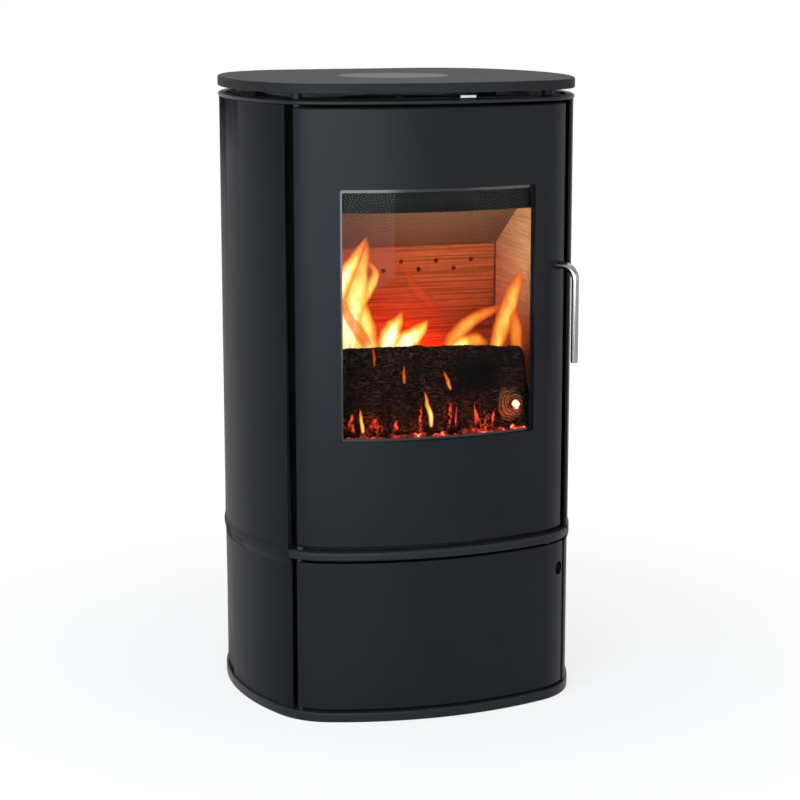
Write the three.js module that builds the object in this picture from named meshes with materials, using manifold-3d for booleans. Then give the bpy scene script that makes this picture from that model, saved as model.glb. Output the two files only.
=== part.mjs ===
// A freestanding steel wood stove: curved body panels, a glazed upper door with a hanging handle, a lower
// storage door, a sliding air control and a lift-off flue cover. Millimetres, +Z up, the front faces -Y.
// The origin is at floor level, under the middle of the body.
import * as THREE from 'three';
import { mergeVertices } from 'three/addons/utils/BufferGeometryUtils.js';
import Module from 'manifold-3d';

const wasm = await Module();
wasm.setup();

// ---------------------------------------------------------------- driving sizes
const overallHeight = 1000;
const bodyWidth = 553.6;
const bodyDepth = 515.3;

// The plan outline is four arcs on each side of the middle, joined tangentially, and a straight back.
const frontArcEnd = 19.02;
const cornerRadius = 105.7;
const cornerArcEnd = 65.38;
const sideArcEnd = 115.07;
const rearCornerRadius = 151;
const angleStep = 5;

// Stack of plates, from the floor up and from the top down.
const plateOverhang = 4.8;
const basePlateHeight = 15.2;
const topPlateHeight = 15.5;
const ringOverhang = 4.3;
const airGapHeight = 10.7;
const ringHeight = 5.8;
const ledgeHeight = 14;
const ledgeTop = 276;
const deckPlateHeight = 6;
const ledgeNoseDepth = 28;
const ledgeNoseOverhang = 4.6;
const ledgeNoseRounding = 3.2;
const ledgeNoseEndGap = 0.55;
const plateEdge = 1.6;
const ringEdge = 2;
const ringWeb = 66;
const ringSlotCount = 4;
const ringSlotStart = 68;
const ringSlotPitch = 14;
const ringSlotSpan = 11;
const ringSlotWidth = 15;
const ringSlotInset = 9;
const bossDiameter = 18;
const bossInset = 38;
const bossFrontAngle = 64;
const bossRearAngle = 140;
const seam = 0.3;

// Side panels.
const panelUpperOffset = 2.5;
const panelLowerOffset = 1.5;
const panelLipOffset = 4.6;
const panelInnerOffset = -1.5;
const panelFrontUpper = 56.5;
const panelFrontLower = 53;
const panelRearAngle = 150;
const panelLipRise = 2;
const panelLipFall = 8;
const panelLipFoot = 12;
const rearSheetInset = 3.5;
const rearSlotCount = 9;
const rearSlotSideGap = 36;
const rearSlotWidth = 10;
const rearSlotLength = 60;
const sheetThickness = 2;

// Upper door.
const doorGapBelow = 5;
const doorGapAbove = 4.2;
const doorSideGap = 6.5;
const doorFaceOffset = -3;
const doorSkin = 6;
const doorFlangeDepth = 6.5;
const doorFlangeWidth = 5;
const doorEdge = 3.5;
const windowAboveDoorFoot = 168;
const windowBelowDoorTop = 123.8;
const windowCorner = 4;
const glassThickness = 4;
const glassOverlap = 13;
const glassGasketThickness = 1.4;
const glassGasketWidth = 9;
const doorGasketWidth = 8;
const doorGasketInset = 32;
const doorGasketLanding = 9.4;
const retainerGasketGap = 3.46;
const doorGasketCorner = 14;
const retainerThickness = 2;
const retainerFoot = 6;
const retainerEndGap = 20;
const hingeInset = 5.06;
const hingeOffset = -9;
const hingePinDiameter = 5;
const hingePinHeight = 9;
const hingeBlockHeight = 14;

// Handle and latch.
const handleBelowDoorTop = 254;
const handleDiameter = 12;
const handleStandOff = 35;
const handleBend = 21;
const handleLength = 153;
const bushFlange = 17.6;
const bushWall = 1.6;
const tongueReach = 13.5;
const keeperWidth = 3;
const keeperHeight = 32;
const tongueWidth = 17;
const tongueThickness = 3.5;
const tongueClearance = 0.9;
const tongueSpacer = 3;
const shaftTip = 2.6;
const shaftFrameGap = 0.9;
const keeperFlangeGap = 0.79;
const latchGasketGap = 1.4;
const latchNutSize = 19;

// Frame behind the upper door and the firebox behind it.
const frameThickness = 5;
const frameSideGap = 2.5;
const frameOpeningCorner = 12;
const frameSill = 54;
const frameHead = 58;
const shellWall = 4;
const shellSideGap = 47.4;
const shellTaper = 26.4;
const shellFrameGap = 2.7;
const shellKneeDepth = 160;
const shellFlueMargin = 17.35;
const shellTopGap = 8;
const shellFloorRise = 52;
const brickThickness = 27;
const brickJoint = 0.4;
const brickTaperGap = 1.2;
const brickFrameGap = 3.5;
const hearthThickness = 20;
const hearthTopRise = 139;
const hearthRailWidth = 22;
const hearthRailHeight = 5;
const brickHoleDiameter = 8;
const brickHolePitch = 62;
const brickHoleRise = 259;
const brickHoleStagger = 14;
const baffleThickness = 27;
const baffleRearDrop = 253;
const baffleSlope = 33.7;
const baffleFrontDepth = 98;
const deflectorDrop = 166;
const deflectorEndGap = 5;
const grateRearGap = 11.6;
const grateWidth = 196;
const grateDepth = 170;
const grateRim = 8;
const grateThickness = 13;
const grateSlots = 9;
const grateSlotWidth = 9;
const ashPanWidth = 190;
const ashPanDepth = 210;
const ashPanTopGap = 4.4;
const ashPanRearGap = 19;
const ashPanWall = 1.5;
const ashPanLip = 6;
const ashGripWidth = 60;
const ashGripDepth = 22;

// Flue.
const flueCoverMargin = 15.7;
const flueCoverRest = 8;
const flueCoverHeight = 7.6;
const flueDiameter = 150;
const flueWall = 3;
const collarFlange = 16;
const collarFlangeHeight = 3;
const collarEndInset = 10.3;
const shieldInset = 95.3;
const shieldFlueGap = 4;
const shieldSideGap = 43.5;
const rearPanelFlueGap = 6;

// Air control.
const slideDepth = 30;
const slideThickness = 2;
const slideFrontDepth = 28;
const slideTravelLeft = 87;
const slideTravelRight = 13;
const slideSlotBridge = 8.2;
const slideEndMargin = 8.1;
const slideSlotWidth = 5.8;
const slideSlotInset = 5;
const slideHoleOffset = 5;
const airHoleLength = 20;
const airHoleWidth = 8;
const tabWidth = 24;
const tabShift = -1;
const tabFrontDepth = 3;
const knobDiameter = 6;

// Lower door and compartment.
const lowerDoorGapBelow = 4.5;
const lowerDoorGapAbove = 4.5;
const lowerDoorLeftGap = 4.7;
const lowerDoorRightGap = 3.4;
const lowerDoorOffset = 0.5;
const lowerDoorSkin = 3;
const lowerDoorFlangeDepth = 7.5;
const lowerHingeInset = 1.8;
const lowerHingeOffset = -4.5;
const lowerHingePinDiameter = 4;
const lowerHingeCollar = 6.4;
const lowerHingePinReach = 6;
const fingerHoleDiameter = 22;
const fingerHoleInset = 7.6;
const fingerHoleBelowTop = 44;
const storageFlangeOffset = -12;
const storageFlangeSideGap = 1;
const storageFlangeSpan = 4.4;
const storageWallSideGap = 6;
const storageWallRearGap = 2;
const magnetDiameter = 12;

// Fire.
const logRadius = 71;
const logSquareness = 2.6;
const logEndGap = 18.5;
const logSideShift = 5;
const logFrontDepth = 57;
const logLift = 2.7;
const logSides = 18;
const emberHeight = 18;
const emberFrontDepth = 102;
const emberRearGap = 6;
const emberUnderLog = 10;
const emberSideGap = 1.5;

// ---------------------------------------------------------------- derived levels
const RAD = Math.PI / 180;
const frontLine = -bodyDepth / 2;
const ringBottom = overallHeight - topPlateHeight - airGapHeight - ringHeight;
const ringTop = ringBottom + ringHeight;
const topPlateBottom = overallHeight - topPlateHeight;
const ledgeBottom = ledgeTop - ledgeHeight;
const doorBottom = ledgeTop + doorGapBelow;
const doorTop = ringBottom - doorGapAbove;
const windowBottom = doorBottom + windowAboveDoorFoot;
const windowTop = doorTop - windowBelowDoorTop;
const handleLevel = doorTop - handleBelowDoorTop;
const doorInnerOffset = doorFaceOffset - doorSkin;
const doorFlangeOffset = doorInnerOffset - doorFlangeDepth;
const frameOffset = doorInnerOffset - tongueSpacer - tongueThickness - shaftTip - shaftFrameGap;
const frameBackOffset = frameOffset - frameThickness;
const frameBottom = ledgeTop + seam;
const frameTop = ringBottom - 5;
const frameOpeningBottom = ledgeTop + frameSill;
const frameOpeningTop = frameTop - frameHead;
const shellTop = ringBottom - shellTopGap;
const shellFloorTop = ledgeTop + shellFloorRise + shellWall;
const hearthTop = ledgeTop + hearthTopRise;
const hearthBottom = hearthTop - hearthThickness;
const shellHalfWidth = bodyWidth / 2 - shellSideGap;
const shellHalfWidthFront = shellHalfWidth - shellTaper;
const shellRearDepth = (bodyDepth + flueDiameter) / 2 + shellFlueMargin;
const brickFace = shellHalfWidth - shellWall - brickJoint - brickThickness;
const brickBackFace = shellRearDepth - shellWall - brickJoint - brickThickness;
const rearFlueLevel = shellTop - flueDiameter / 2 - collarFlange - 1;
const flueCoverDiameter = flueDiameter + 2 * flueCoverMargin;
const lowerDoorBottom = basePlateHeight + lowerDoorGapBelow;
const lowerDoorTop = ledgeBottom - lowerDoorGapAbove;
const lowerDoorInnerOffset = lowerDoorOffset - lowerDoorSkin;
const doorHalfAngle = panelFrontUpper - doorSideGap;
const frameHalfAngle = panelFrontUpper - frameSideGap;
const lowerDoorLeft = panelFrontLower - lowerDoorLeftGap;
const lowerDoorRight = panelFrontLower - lowerDoorRightGap;
const lowerHingeAngle = lowerDoorLeft - lowerHingeInset;
const fingerHoleAngle = lowerDoorRight - fingerHoleInset;
const storageFlangeOuter = panelFrontLower - storageFlangeSideGap;
const storageFlangeInner = storageFlangeOuter - storageFlangeSpan;
const glassFront = doorInnerOffset - seam - glassGasketThickness - seam;
const glassBack = glassFront - glassThickness;
const slideTravel = slideTravelLeft + slideTravelRight;
const slideScrewSpacing = slideTravel + slideSlotWidth + slideSlotBridge;
const slideWidth = slideScrewSpacing + slideTravel + slideSlotWidth + 2 * slideEndMargin;
const slideShift = (slideTravelLeft - slideTravelRight) / 2;
const tabCentre = slideShift + tabShift;
const logCentreDepth = logFrontDepth + logRadius;
const logLevel = hearthTop + seam + emberUnderLog + logLift + logRadius;
const fingerHoleLevel = lowerDoorTop - fingerHoleBelowTop;

// ---------------------------------------------------------------- plan outline
// The front and side radii follow from the width, the depth and the given arcs.
function solveOutlineRadii() {
  const sin = [frontArcEnd, cornerArcEnd, sideArcEnd].map((a) => Math.sin(a * RAD));
  const cos = [frontArcEnd, cornerArcEnd, sideArcEnd].map((a) => Math.cos(a * RAD));
  const width = bodyWidth / 2 - cornerRadius * (sin[1] - sin[0]);
  const depth = bodyDepth - cornerRadius * (cos[0] - cos[1]) - rearCornerRadius * (cos[2] + 1);
  const a = sin[0];
  const b = 1 - sin[1];
  const c = 1 - cos[0];
  const d = cos[1] - cos[2];
  const determinant = a * d - b * c;
  return [(width * d - b * depth) / determinant, (a * depth - c * width) / determinant];
}

const [frontRadius, sideRadius] = solveOutlineRadii();
const outlineArcs = [
  [frontRadius, frontArcEnd],
  [cornerRadius, cornerArcEnd],
  [sideRadius, sideArcEnd],
  [rearCornerRadius, 180],
];

// Point of the arcs whose normal stands at an angle from the front, pushed out by an offset.
function arcPoint(angle, offset) {
  const side = angle < 0 ? -1 : 1;
  const target = Math.abs(angle);
  let x = 0;
  let y = frontLine - offset;
  let from = 0;
  for (const [radius, end] of outlineArcs) {
    const to = Math.min(target, end);
    x += (radius + offset) * (Math.sin(to * RAD) - Math.sin(from * RAD));
    y += (radius + offset) * (Math.cos(from * RAD) - Math.cos(to * RAD));
    from = to;
    if (target <= end) break;
  }
  return [side * x, y];
}

// The same point on the chord between two grid angles, so that all curved pieces share their facets.
function planPoint(angle, offset) {
  const step = Math.floor(angle / angleStep);
  const share = angle / angleStep - step;
  const [x0, y0] = arcPoint(step * angleStep, offset);
  const [x1, y1] = arcPoint((step + 1) * angleStep, offset);
  return [THREE.MathUtils.lerp(x0, x1, share), THREE.MathUtils.lerp(y0, y1, share)];
}

// Angles on the common grid between two ends.
function anglesBetween(from, to) {
  const list = [from];
  for (let a = Math.ceil((from + 0.9) / angleStep) * angleStep; a < to - 0.9; a += angleStep) {
    list.push(a);
  }
  list.push(to);
  return list;
}

const wholeTurn = anglesBetween(-180, 180);

// Outline angle at which the offset curve reaches a distance from the middle plane, in the front half.
function angleAtX(x, offset) {
  let low = 0;
  let high = 90;
  for (let i = 0; i < 40; i += 1) {
    const middle = (low + high) / 2;
    if (planPoint(middle, offset)[0] < x) low = middle;
    else high = middle;
  }
  return low;
}

// Angle of the outline point that lies a length further round than a given angle, at an offset.
function angleBeside(angle, length, offset) {
  const [x, y] = planPoint(angle, offset);
  let near = 0;
  let far = 60;
  for (let i = 0; i < 40; i += 1) {
    const middle = (near + far) / 2;
    const [u, v] = planPoint(angle + Math.sign(length) * middle, offset);
    if (Math.hypot(u - x, v - y) < Math.abs(length)) near = middle;
    else far = middle;
  }
  return angle + Math.sign(length) * near;
}

// Half width of the outline behind its widest line, at a depth.
function rearHalfWidth(depth, offset) {
  let low = 90;
  let high = 180;
  for (let i = 0; i < 40; i += 1) {
    const middle = (low + high) / 2;
    if (planPoint(middle, offset)[1] < depth) low = middle;
    else high = middle;
  }
  return planPoint(low, offset)[0];
}

// From the edge of the upper door inward: flange, keeper, latch, rope seal, retainer, glass and window.
const flangeAngle = angleBeside(doorHalfAngle, -doorFlangeWidth, doorInnerOffset);
const keeperAngle = angleBeside(flangeAngle, -keeperFlangeGap - keeperWidth, frameOffset);
const handleAngle = angleBeside(keeperAngle, -tongueClearance - tongueReach, frameOffset);
const latchRadius = Math.max(tongueWidth / 2 + 1, latchNutSize / 2);
const gasketOffset = (doorInnerOffset + frameOffset) / 2;
const gasketFromHandle = latchRadius + latchGasketGap + doorGasketWidth / 2;
const doorGasketHalfAngle = angleBeside(handleAngle, -gasketFromHandle, gasketOffset);
const footFromGasket = doorGasketWidth / 2 + retainerGasketGap;
const footAngle = angleBeside(doorGasketHalfAngle, -footFromGasket, doorInnerOffset);
const webAngle = angleBeside(footAngle, -retainerFoot, doorInnerOffset);
const glassEdgeAngle = angleBeside(webAngle, -1, glassFront);
const windowHalfWidth = planPoint(glassEdgeAngle, glassFront)[0] - glassOverlap;
const frameOpeningHalfWidth = planPoint(doorGasketHalfAngle, gasketOffset)[0] - doorGasketLanding;
const shellFrontDepth = planPoint(frameHalfAngle, frameBackOffset)[1] - frontLine + shellFrameGap;
const fireHalfWidth = frameOpeningHalfWidth + brickFrameGap;
const hingeAngle = angleBeside(doorHalfAngle, -hingeInset, hingeOffset);

// ---------------------------------------------------------------- solid helpers
function bodyFrom(points, faces) {
  const geometry = new THREE.BufferGeometry();
  let volume = 0;
  for (const [a, b, c] of faces) {
    const [p, q, r] = [points[a], points[b], points[c]];
    volume += p[0] * (q[1] * r[2] - q[2] * r[1]);
    volume += p[1] * (q[2] * r[0] - q[0] * r[2]);
    volume += p[2] * (q[0] * r[1] - q[1] * r[0]);
  }
  const ordered = faces.flatMap(([a, b, c]) => (volume > 0 ? [a, b, c] : [a, c, b]));
  geometry.setAttribute('position', new THREE.Float32BufferAttribute(points.flat(), 3));
  geometry.setIndex(ordered);
  const flat = geometry.toNonIndexed();
  flat.computeVertexNormals();
  return flat;
}

// Triangles that close a nearly flat ring of points, wound the same way as the ring.
function capFaces(ring) {
  const normal = [0, 0, 0];
  ring.forEach((p, i) => {
    const q = ring[(i + 1) % ring.length];
    normal[0] += (p[1] - q[1]) * (p[2] + q[2]);
    normal[1] += (p[2] - q[2]) * (p[0] + q[0]);
    normal[2] += (p[0] - q[0]) * (p[1] + q[1]);
  });
  const size = normal.map(Math.abs);
  const drop = size.indexOf(Math.max(...size));
  const flat = ring.map((p) => new THREE.Vector2(p[(drop + 1) % 3], p[(drop + 2) % 3]));
  const turn = Math.sign(THREE.ShapeUtils.area(flat));
  return THREE.ShapeUtils.triangulateShape(flat, []).map((face) => {
    const area = THREE.ShapeUtils.area(face.map((i) => flat[i]));
    return Math.sign(area) === turn ? face : [face[0], face[2], face[1]];
  });
}

// Skin over a row of rings with equal point counts, closed by caps or joined end to end.
function loft(rings, joined = false) {
  const count = rings[0].length;
  const faces = [];
  const last = joined ? rings.length : rings.length - 1;
  for (let i = 0; i < last; i += 1) {
    const base = i * count;
    const next = ((i + 1) % rings.length) * count;
    for (let j = 0; j < count; j += 1) {
      const k = (j + 1) % count;
      faces.push([base + j, base + k, next + k], [base + j, next + k, next + j]);
    }
  }
  if (!joined) {
    const end = (rings.length - 1) * count;
    capFaces(rings[0]).forEach(([a, b, c]) => faces.push([a, c, b]));
    capFaces(rings[rings.length - 1]).forEach(([a, b, c]) => faces.push([end + a, end + b, end + c]));
  }
  return bodyFrom(rings.flat(), faces);
}

function outlineRing(offset, z, angles = wholeTurn) {
  return angles.map((a) => [...planPoint(a, offset), z]);
}

// Plate with the plan outline, built from [offset, level] pairs.
function outlinePlate(levels) {
  return loft(levels.map(([offset, z]) => outlineRing(offset, z)));
}

// Outer profile of a plate as [offset, level] pairs, its foot rounded or with one plain chamfer.
function edgedLevels(offset, z0, z1, edge, roundFoot = true) {
  const soft = edge * 0.3;
  const foot = roundFoot ? [[offset - soft, z0 + soft]] : [];
  return [
    [offset - edge, z0],
    ...foot,
    [offset, z0 + edge],
    [offset, z1 - edge],
    [offset - soft, z1 - soft],
    [offset - edge, z1],
  ];
}

// Section of [offset, level, turn] points carried round the outline between two angles.
function sweepRound(angles, section) {
  const rings = angles.map((a, i) =>
    section(a, i, angles.length).map(([offset, z, turn = 0]) => [...planPoint(a + turn, offset), z]),
  );
  return loft(rings);
}

function curvedWall(from, to, inner, outer, z0, z1) {
  const section = [[inner, z0], [outer, z0], [outer, z1], [inner, z1]];
  return sweepRound(anglesBetween(from, to), () => section);
}

function shapeOf(points) {
  return new THREE.Shape(points.map(([x, y]) => new THREE.Vector2(x, y)));
}

function prism(points, z0, z1, holes = []) {
  const shape = shapeOf(points);
  shape.holes = holes.map((hole) => shapeOf(hole));
  return new THREE.ExtrudeGeometry(shape, { depth: z1 - z0, bevelEnabled: false }).translate(0, 0, z0);
}

// Profile of [y, z] points carried along X.
function prismAlongX(points, x0, x1) {
  const turn = new THREE.Matrix4().makeBasis(
    new THREE.Vector3(0, 1, 0),
    new THREE.Vector3(0, 0, 1),
    new THREE.Vector3(1, 0, 0),
  );
  return prism(points, x0, x1).applyMatrix4(turn);
}

// Profile of [x, z] points carried along Y.
function prismAlongY(points, y0, y1, holes = []) {
  const turn = new THREE.Matrix4().makeBasis(
    new THREE.Vector3(1, 0, 0),
    new THREE.Vector3(0, 0, 1),
    new THREE.Vector3(0, -1, 0),
  );
  return prism(points, -y1, -y0, holes).applyMatrix4(turn);
}

function box(x0, x1, y0, y1, z0, z1) {
  return new THREE.BoxGeometry(x1 - x0, y1 - y0, z1 - z0).translate(
    (x0 + x1) / 2,
    (y0 + y1) / 2,
    (z0 + z1) / 2,
  );
}

function rodAlongZ(diameter, z0, z1, x = 0, y = 0, sides = 24) {
  return new THREE.CylinderGeometry(diameter / 2, diameter / 2, z1 - z0, sides)
    .rotateX(Math.PI / 2)
    .translate(x, y, (z0 + z1) / 2);
}

function rodAlongY(diameter, y0, y1, x, z, sides = 24) {
  return new THREE.CylinderGeometry(diameter / 2, diameter / 2, y1 - y0, sides).translate(
    x,
    (y0 + y1) / 2,
    z,
  );
}

function rectangle(x0, x1, y0, y1) {
  return [[x0, y0], [x1, y0], [x1, y1], [x0, y1]];
}

function circle(diameter, x, y, sides) {
  return Array.from({ length: sides }, (_, i) => {
    const a = (2 * Math.PI * i) / sides;
    return [x + (diameter / 2) * Math.cos(a), y + (diameter / 2) * Math.sin(a)];
  });
}

function roundedRectangle(x0, x1, y0, y1, radius, steps = 3) {
  const corners = [
    [x1 - radius, y0 + radius, -90],
    [x1 - radius, y1 - radius, 0],
    [x0 + radius, y1 - radius, 90],
    [x0 + radius, y0 + radius, 180],
  ];
  return corners.flatMap(([x, y, start]) =>
    Array.from({ length: steps + 1 }, (_, i) => {
      const a = (start + (90 * i) / steps) * RAD;
      return [x + radius * Math.cos(a), y + radius * Math.sin(a)];
    }),
  );
}

// Sheet of one thickness that follows a row of plan points, laid to the left of its direction of travel.
function foldedSheet(points, thickness, z0, z1) {
  const inner = points.map((p, i) => {
    const before = points[Math.max(i - 1, 0)];
    const after = points[Math.min(i + 1, points.length - 1)];
    const arriving = i > 0 ? direction(before, p) : direction(p, after);
    const leaving = i < points.length - 1 ? direction(p, after) : arriving;
    const normal = [-(arriving[1] + leaving[1]), arriving[0] + leaving[0]];
    const length = Math.hypot(...normal);
    const reach = thickness / (((-arriving[1] * normal[0]) + arriving[0] * normal[1]) / length);
    return [p[0] + (normal[0] / length) * reach, p[1] + (normal[1] / length) * reach];
  });
  return prism([...points, ...inner.reverse()], z0, z1);
}

function direction(p, q) {
  const length = Math.hypot(q[0] - p[0], q[1] - p[1]);
  return [(q[0] - p[0]) / length, (q[1] - p[1]) / length];
}

function toSolid(geometry) {
  const bare = geometry.clone();
  bare.deleteAttribute('normal');
  bare.deleteAttribute('uv');
  const merged = mergeVertices(bare, 1e-4);
  const data = new wasm.Mesh({
    numProp: 3,
    vertProperties: new Float32Array(merged.attributes.position.array),
    triVerts: new Uint32Array(merged.index.array),
  });
  return new wasm.Manifold(data);
}

function fromSolid(solid) {
  const data = solid.getMesh();
  const geometry = new THREE.BufferGeometry();
  const count = data.vertProperties.length / data.numProp;
  const positions = new Float32Array(count * 3);
  for (let i = 0; i < count; i += 1) {
    for (let k = 0; k < 3; k += 1) positions[3 * i + k] = data.vertProperties[i * data.numProp + k];
  }
  geometry.setAttribute('position', new THREE.BufferAttribute(positions, 3));
  geometry.setIndex(new THREE.BufferAttribute(new Uint32Array(data.triVerts), 1));
  const flat = geometry.toNonIndexed();
  flat.computeVertexNormals();
  return flat;
}

function cut(base, ...tools) {
  return fromSolid(tools.reduce((solid, tool) => solid.subtract(toSolid(tool)), toSolid(base)));
}

function join(...pieces) {
  const [first, ...others] = pieces.map(toSolid);
  return fromSolid(others.reduce((whole, piece) => whole.add(piece), first));
}

function overlapOf(first, second) {
  return fromSolid(toSolid(first).intersect(toSolid(second)));
}

function mirrored(points) {
  return points.map(([x, y]) => [-x, y]).reverse();
}

// Places a geometry made round the origin, with +Y pointing into the body, at an outline angle.
function turnedTo(geometry, angle, offset, z) {
  const [x, y] = planPoint(angle, offset);
  return geometry.rotateZ(angle * RAD).translate(x, y, z);
}

// ---------------------------------------------------------------- materials
function finish(color, roughness, metalness, extra = {}) {
  return new THREE.MeshStandardMaterial({ color, roughness, metalness, ...extra });
}

const bodyPaint = finish(0x3b4048, 0.62, 0.25);
const topPaint = finish(0x565b63, 0.6, 0.25);
const darkPaint = finish(0x2a2d31, 0.75, 0.2);
const castIron = finish(0x2e3033, 0.8, 0.4);
const stainless = finish(0xc9ccd0, 0.22, 1);
const bareSteel = finish(0x8d9196, 0.45, 0.9);
const plainBrick = finish(0xbfae93, 0.92, 0);
const ropeFibre = finish(0x5d5a55, 0.95, 0);
const darkGlass = finish(0x16181a, 0.06, 0, { transparent: true, opacity: 0.35 });
const charredWood = finish(0x1f1a17, 0.9, 0);
const embers = finish(0xff6a1e, 0.9, 0, { emissive: 0xff4a10, emissiveIntensity: 1 });

const stove = new THREE.Group();

function place(name, geometry, material, group = stove) {
  const piece = new THREE.Mesh(geometry, material);
  piece.name = name;
  group.add(piece);
  return piece;
}

// ---------------------------------------------------------------- plates, ledge and ring
// Rear corner of the flat sheet that closes the back between the side panels.
const rearSheet = planPoint(panelRearAngle - rearSheetInset, panelInnerOffset - 0.4);

function basePlate() {
  return outlinePlate(edgedLevels(plateOverhang, 0, basePlateHeight, plateEdge, false));
}

// Angle at which the side panel begins: it steps back above the ledge.
function panelFrontAngle(z) {
  const rise = ledgeTop + panelLipRise - ledgeBottom;
  const share = THREE.MathUtils.clamp((z - ledgeBottom) / rise, 0, 1);
  return panelFrontLower + share * (panelFrontUpper - panelFrontLower);
}

// Deck between the storage space and the firebox, with a rounded nose that shows below the upper door.
function midDeck() {
  const plate = outlinePlate([
    [panelInnerOffset - 0.5, ledgeTop - deckPlateHeight],
    [panelInnerOffset - 0.5, ledgeTop],
  ]);
  const levels = edgedLevels(ledgeNoseOverhang, ledgeBottom, ledgeTop, ledgeNoseRounding);
  const back = ledgeNoseOverhang - ledgeNoseDepth;
  const end = Math.min(panelFrontLower, panelFrontUpper);
  const angles = anglesBetween(-end, end);
  const endTurn = (z) => panelFrontAngle(z) - ledgeNoseEndGap - end;
  const nose = sweepRound(angles, (a, i, count) => {
    const atEnd = i === 0 || i === count - 1;
    const follow = (z) => (atEnd ? Math.sign(a) * endTurn(z) : 0);
    const face = levels.map(([offset, z]) => [offset, z, follow(z)]);
    return [[back, ledgeBottom, follow(ledgeBottom)], ...face, [back, ledgeTop, follow(ledgeTop)]];
  });
  const rearLimit = rearSheet[1] - sheetThickness - 0.5;
  const behind = box(-bodyWidth, bodyWidth, rearLimit, bodyDepth, 0, overallHeight);
  return cut(join(plate, nose), behind);
}

function topPlate() {
  const slab = outlinePlate(edgedLevels(plateOverhang, topPlateBottom, overallHeight, plateEdge, false));
  const rebate = overallHeight - flueCoverHeight - seam;
  return cut(
    slab,
    rodAlongZ(flueCoverDiameter - 2 * flueCoverRest, topPlateBottom - 1, overallHeight + 1, 0, 0, 48),
    rodAlongZ(flueCoverDiameter + 1.2, rebate, overallHeight + 1, 0, 0, 48),
  );
}

const slideRow = [-64, -32, 0, 32, 64];

// Plan of one air hole of the row under the slide.
function airHole(x) {
  const y0 = frontLine + slideFrontDepth + 4;
  const [x0, x1] = [x - airHoleLength / 2, x + airHoleLength / 2];
  return roundedRectangle(x0, x1, y0, y0 + airHoleWidth, airHoleWidth / 2 - 0.01, 2);
}

// Ring under the top plate: bead edge, convection slots, air holes under the slide and four bosses.
function topRing() {
  const plate = outlinePlate(edgedLevels(ringOverhang, ringBottom, ringTop, ringEdge, false));
  const [below, above] = [ringBottom - 1, ringTop + 1];
  const middle = loft([outlineRing(-ringWeb, below), outlineRing(-ringWeb, above)]);
  const cutters = slideRow.map((x) => prism(airHole(x), below, above));
  for (let i = 0; i < ringSlotCount; i += 1) {
    const from = ringSlotStart + i * ringSlotPitch;
    const to = from + ringSlotSpan;
    const inner = -ringSlotInset - ringSlotWidth;
    cutters.push(curvedWall(from, to, inner, -ringSlotInset, below, above));
    cutters.push(curvedWall(-to, -from, inner, -ringSlotInset, below, above));
  }
  const bosses = [bossFrontAngle, bossRearAngle, -bossFrontAngle, -bossRearAngle].map((angle) => {
    const [x, y] = planPoint(angle, -bossInset);
    return rodAlongZ(bossDiameter, ringTop - 1, topPlateBottom - seam, x, y, 16);
  });
  return join(cut(plate, middle, ...cutters), ...bosses);
}

// ---------------------------------------------------------------- body panels
function sidePanel(side) {
  const bottom = basePlateHeight + seam;
  const top = ringBottom - seam;
  const lipTop = (angle) => {
    const share = THREE.MathUtils.clamp((angle - cornerArcEnd) / 35, 0, 1);
    return ledgeTop + panelLipRise - share * (panelLipRise + panelLipFall);
  };
  // The stations before the common grid lean with the front edge, the first two of them fully.
  const gridStart = Math.ceil((Math.max(panelFrontUpper, panelFrontLower) + 1.4) / angleStep) * angleStep;
  const leaning = Math.floor((gridStart - Math.min(panelFrontUpper, panelFrontLower)) / (1.5 * angleStep));
  const second = panelFrontUpper + 0.9;
  const stations = [panelFrontUpper, second];
  for (let i = 1; i <= leaning; i += 1) {
    stations.push(THREE.MathUtils.lerp(second, gridStart, i / (leaning + 1)));
  }
  stations.push(...anglesBetween(gridStart, panelRearAngle));
  const rings = stations.map((angle, i) => {
    const lip = lipTop(angle);
    const soften = i === 0 ? 0.9 : 0;
    const profile = [
      [panelInnerOffset, bottom],
      [panelLowerOffset - soften, bottom],
      [panelLowerOffset - soften, ledgeBottom - panelLipFoot],
      [panelLipOffset - soften, ledgeBottom],
      [panelLipOffset - soften, lip - 2.5],
      [panelUpperOffset + 1.2 - soften, lip],
      [panelUpperOffset - soften, lip + 2.5],
      [panelUpperOffset - soften, top],
      [panelInnerOffset, top],
      [panelInnerOffset, lip],
      [panelInnerOffset, ledgeBottom],
    ];
    const lean = THREE.MathUtils.clamp(1 - (i - 1) / (leaning + 1), 0, 1);
    return profile.map(([offset, z]) => {
      const shift = lean * (panelFrontAngle(z) - panelFrontUpper);
      return [...planPoint(side * (angle + shift), offset), z];
    });
  });
  return loft(rings);
}

// Row of upright slots across the rear sheet.
function slotRow(halfWidth, z0) {
  const pitch = (2 * (halfWidth - rearSlotSideGap)) / (rearSlotCount - 1);
  return Array.from({ length: rearSlotCount }, (_, i) => {
    const x = (i - (rearSlotCount - 1) / 2) * pitch;
    const half = rearSlotWidth / 2;
    return roundedRectangle(x - half, x + half, z0, z0 + rearSlotLength, half - 0.01, 1);
  });
}

function rearPanel() {
  const halfWidth = rearSheet[0];
  const outline = rectangle(-halfWidth, halfWidth, basePlateHeight + seam, ringBottom - seam);
  const holes = [
    circle(flueDiameter + 2 * rearPanelFlueGap, 0, rearFlueLevel, 32),
    ...slotRow(halfWidth, ledgeTop + rearSlotLength),
    ...slotRow(halfWidth, ledgeTop + 2.5 * rearSlotLength),
  ];
  return prismAlongY(outline, rearSheet[1] - sheetThickness, rearSheet[1], holes);
}

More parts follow.
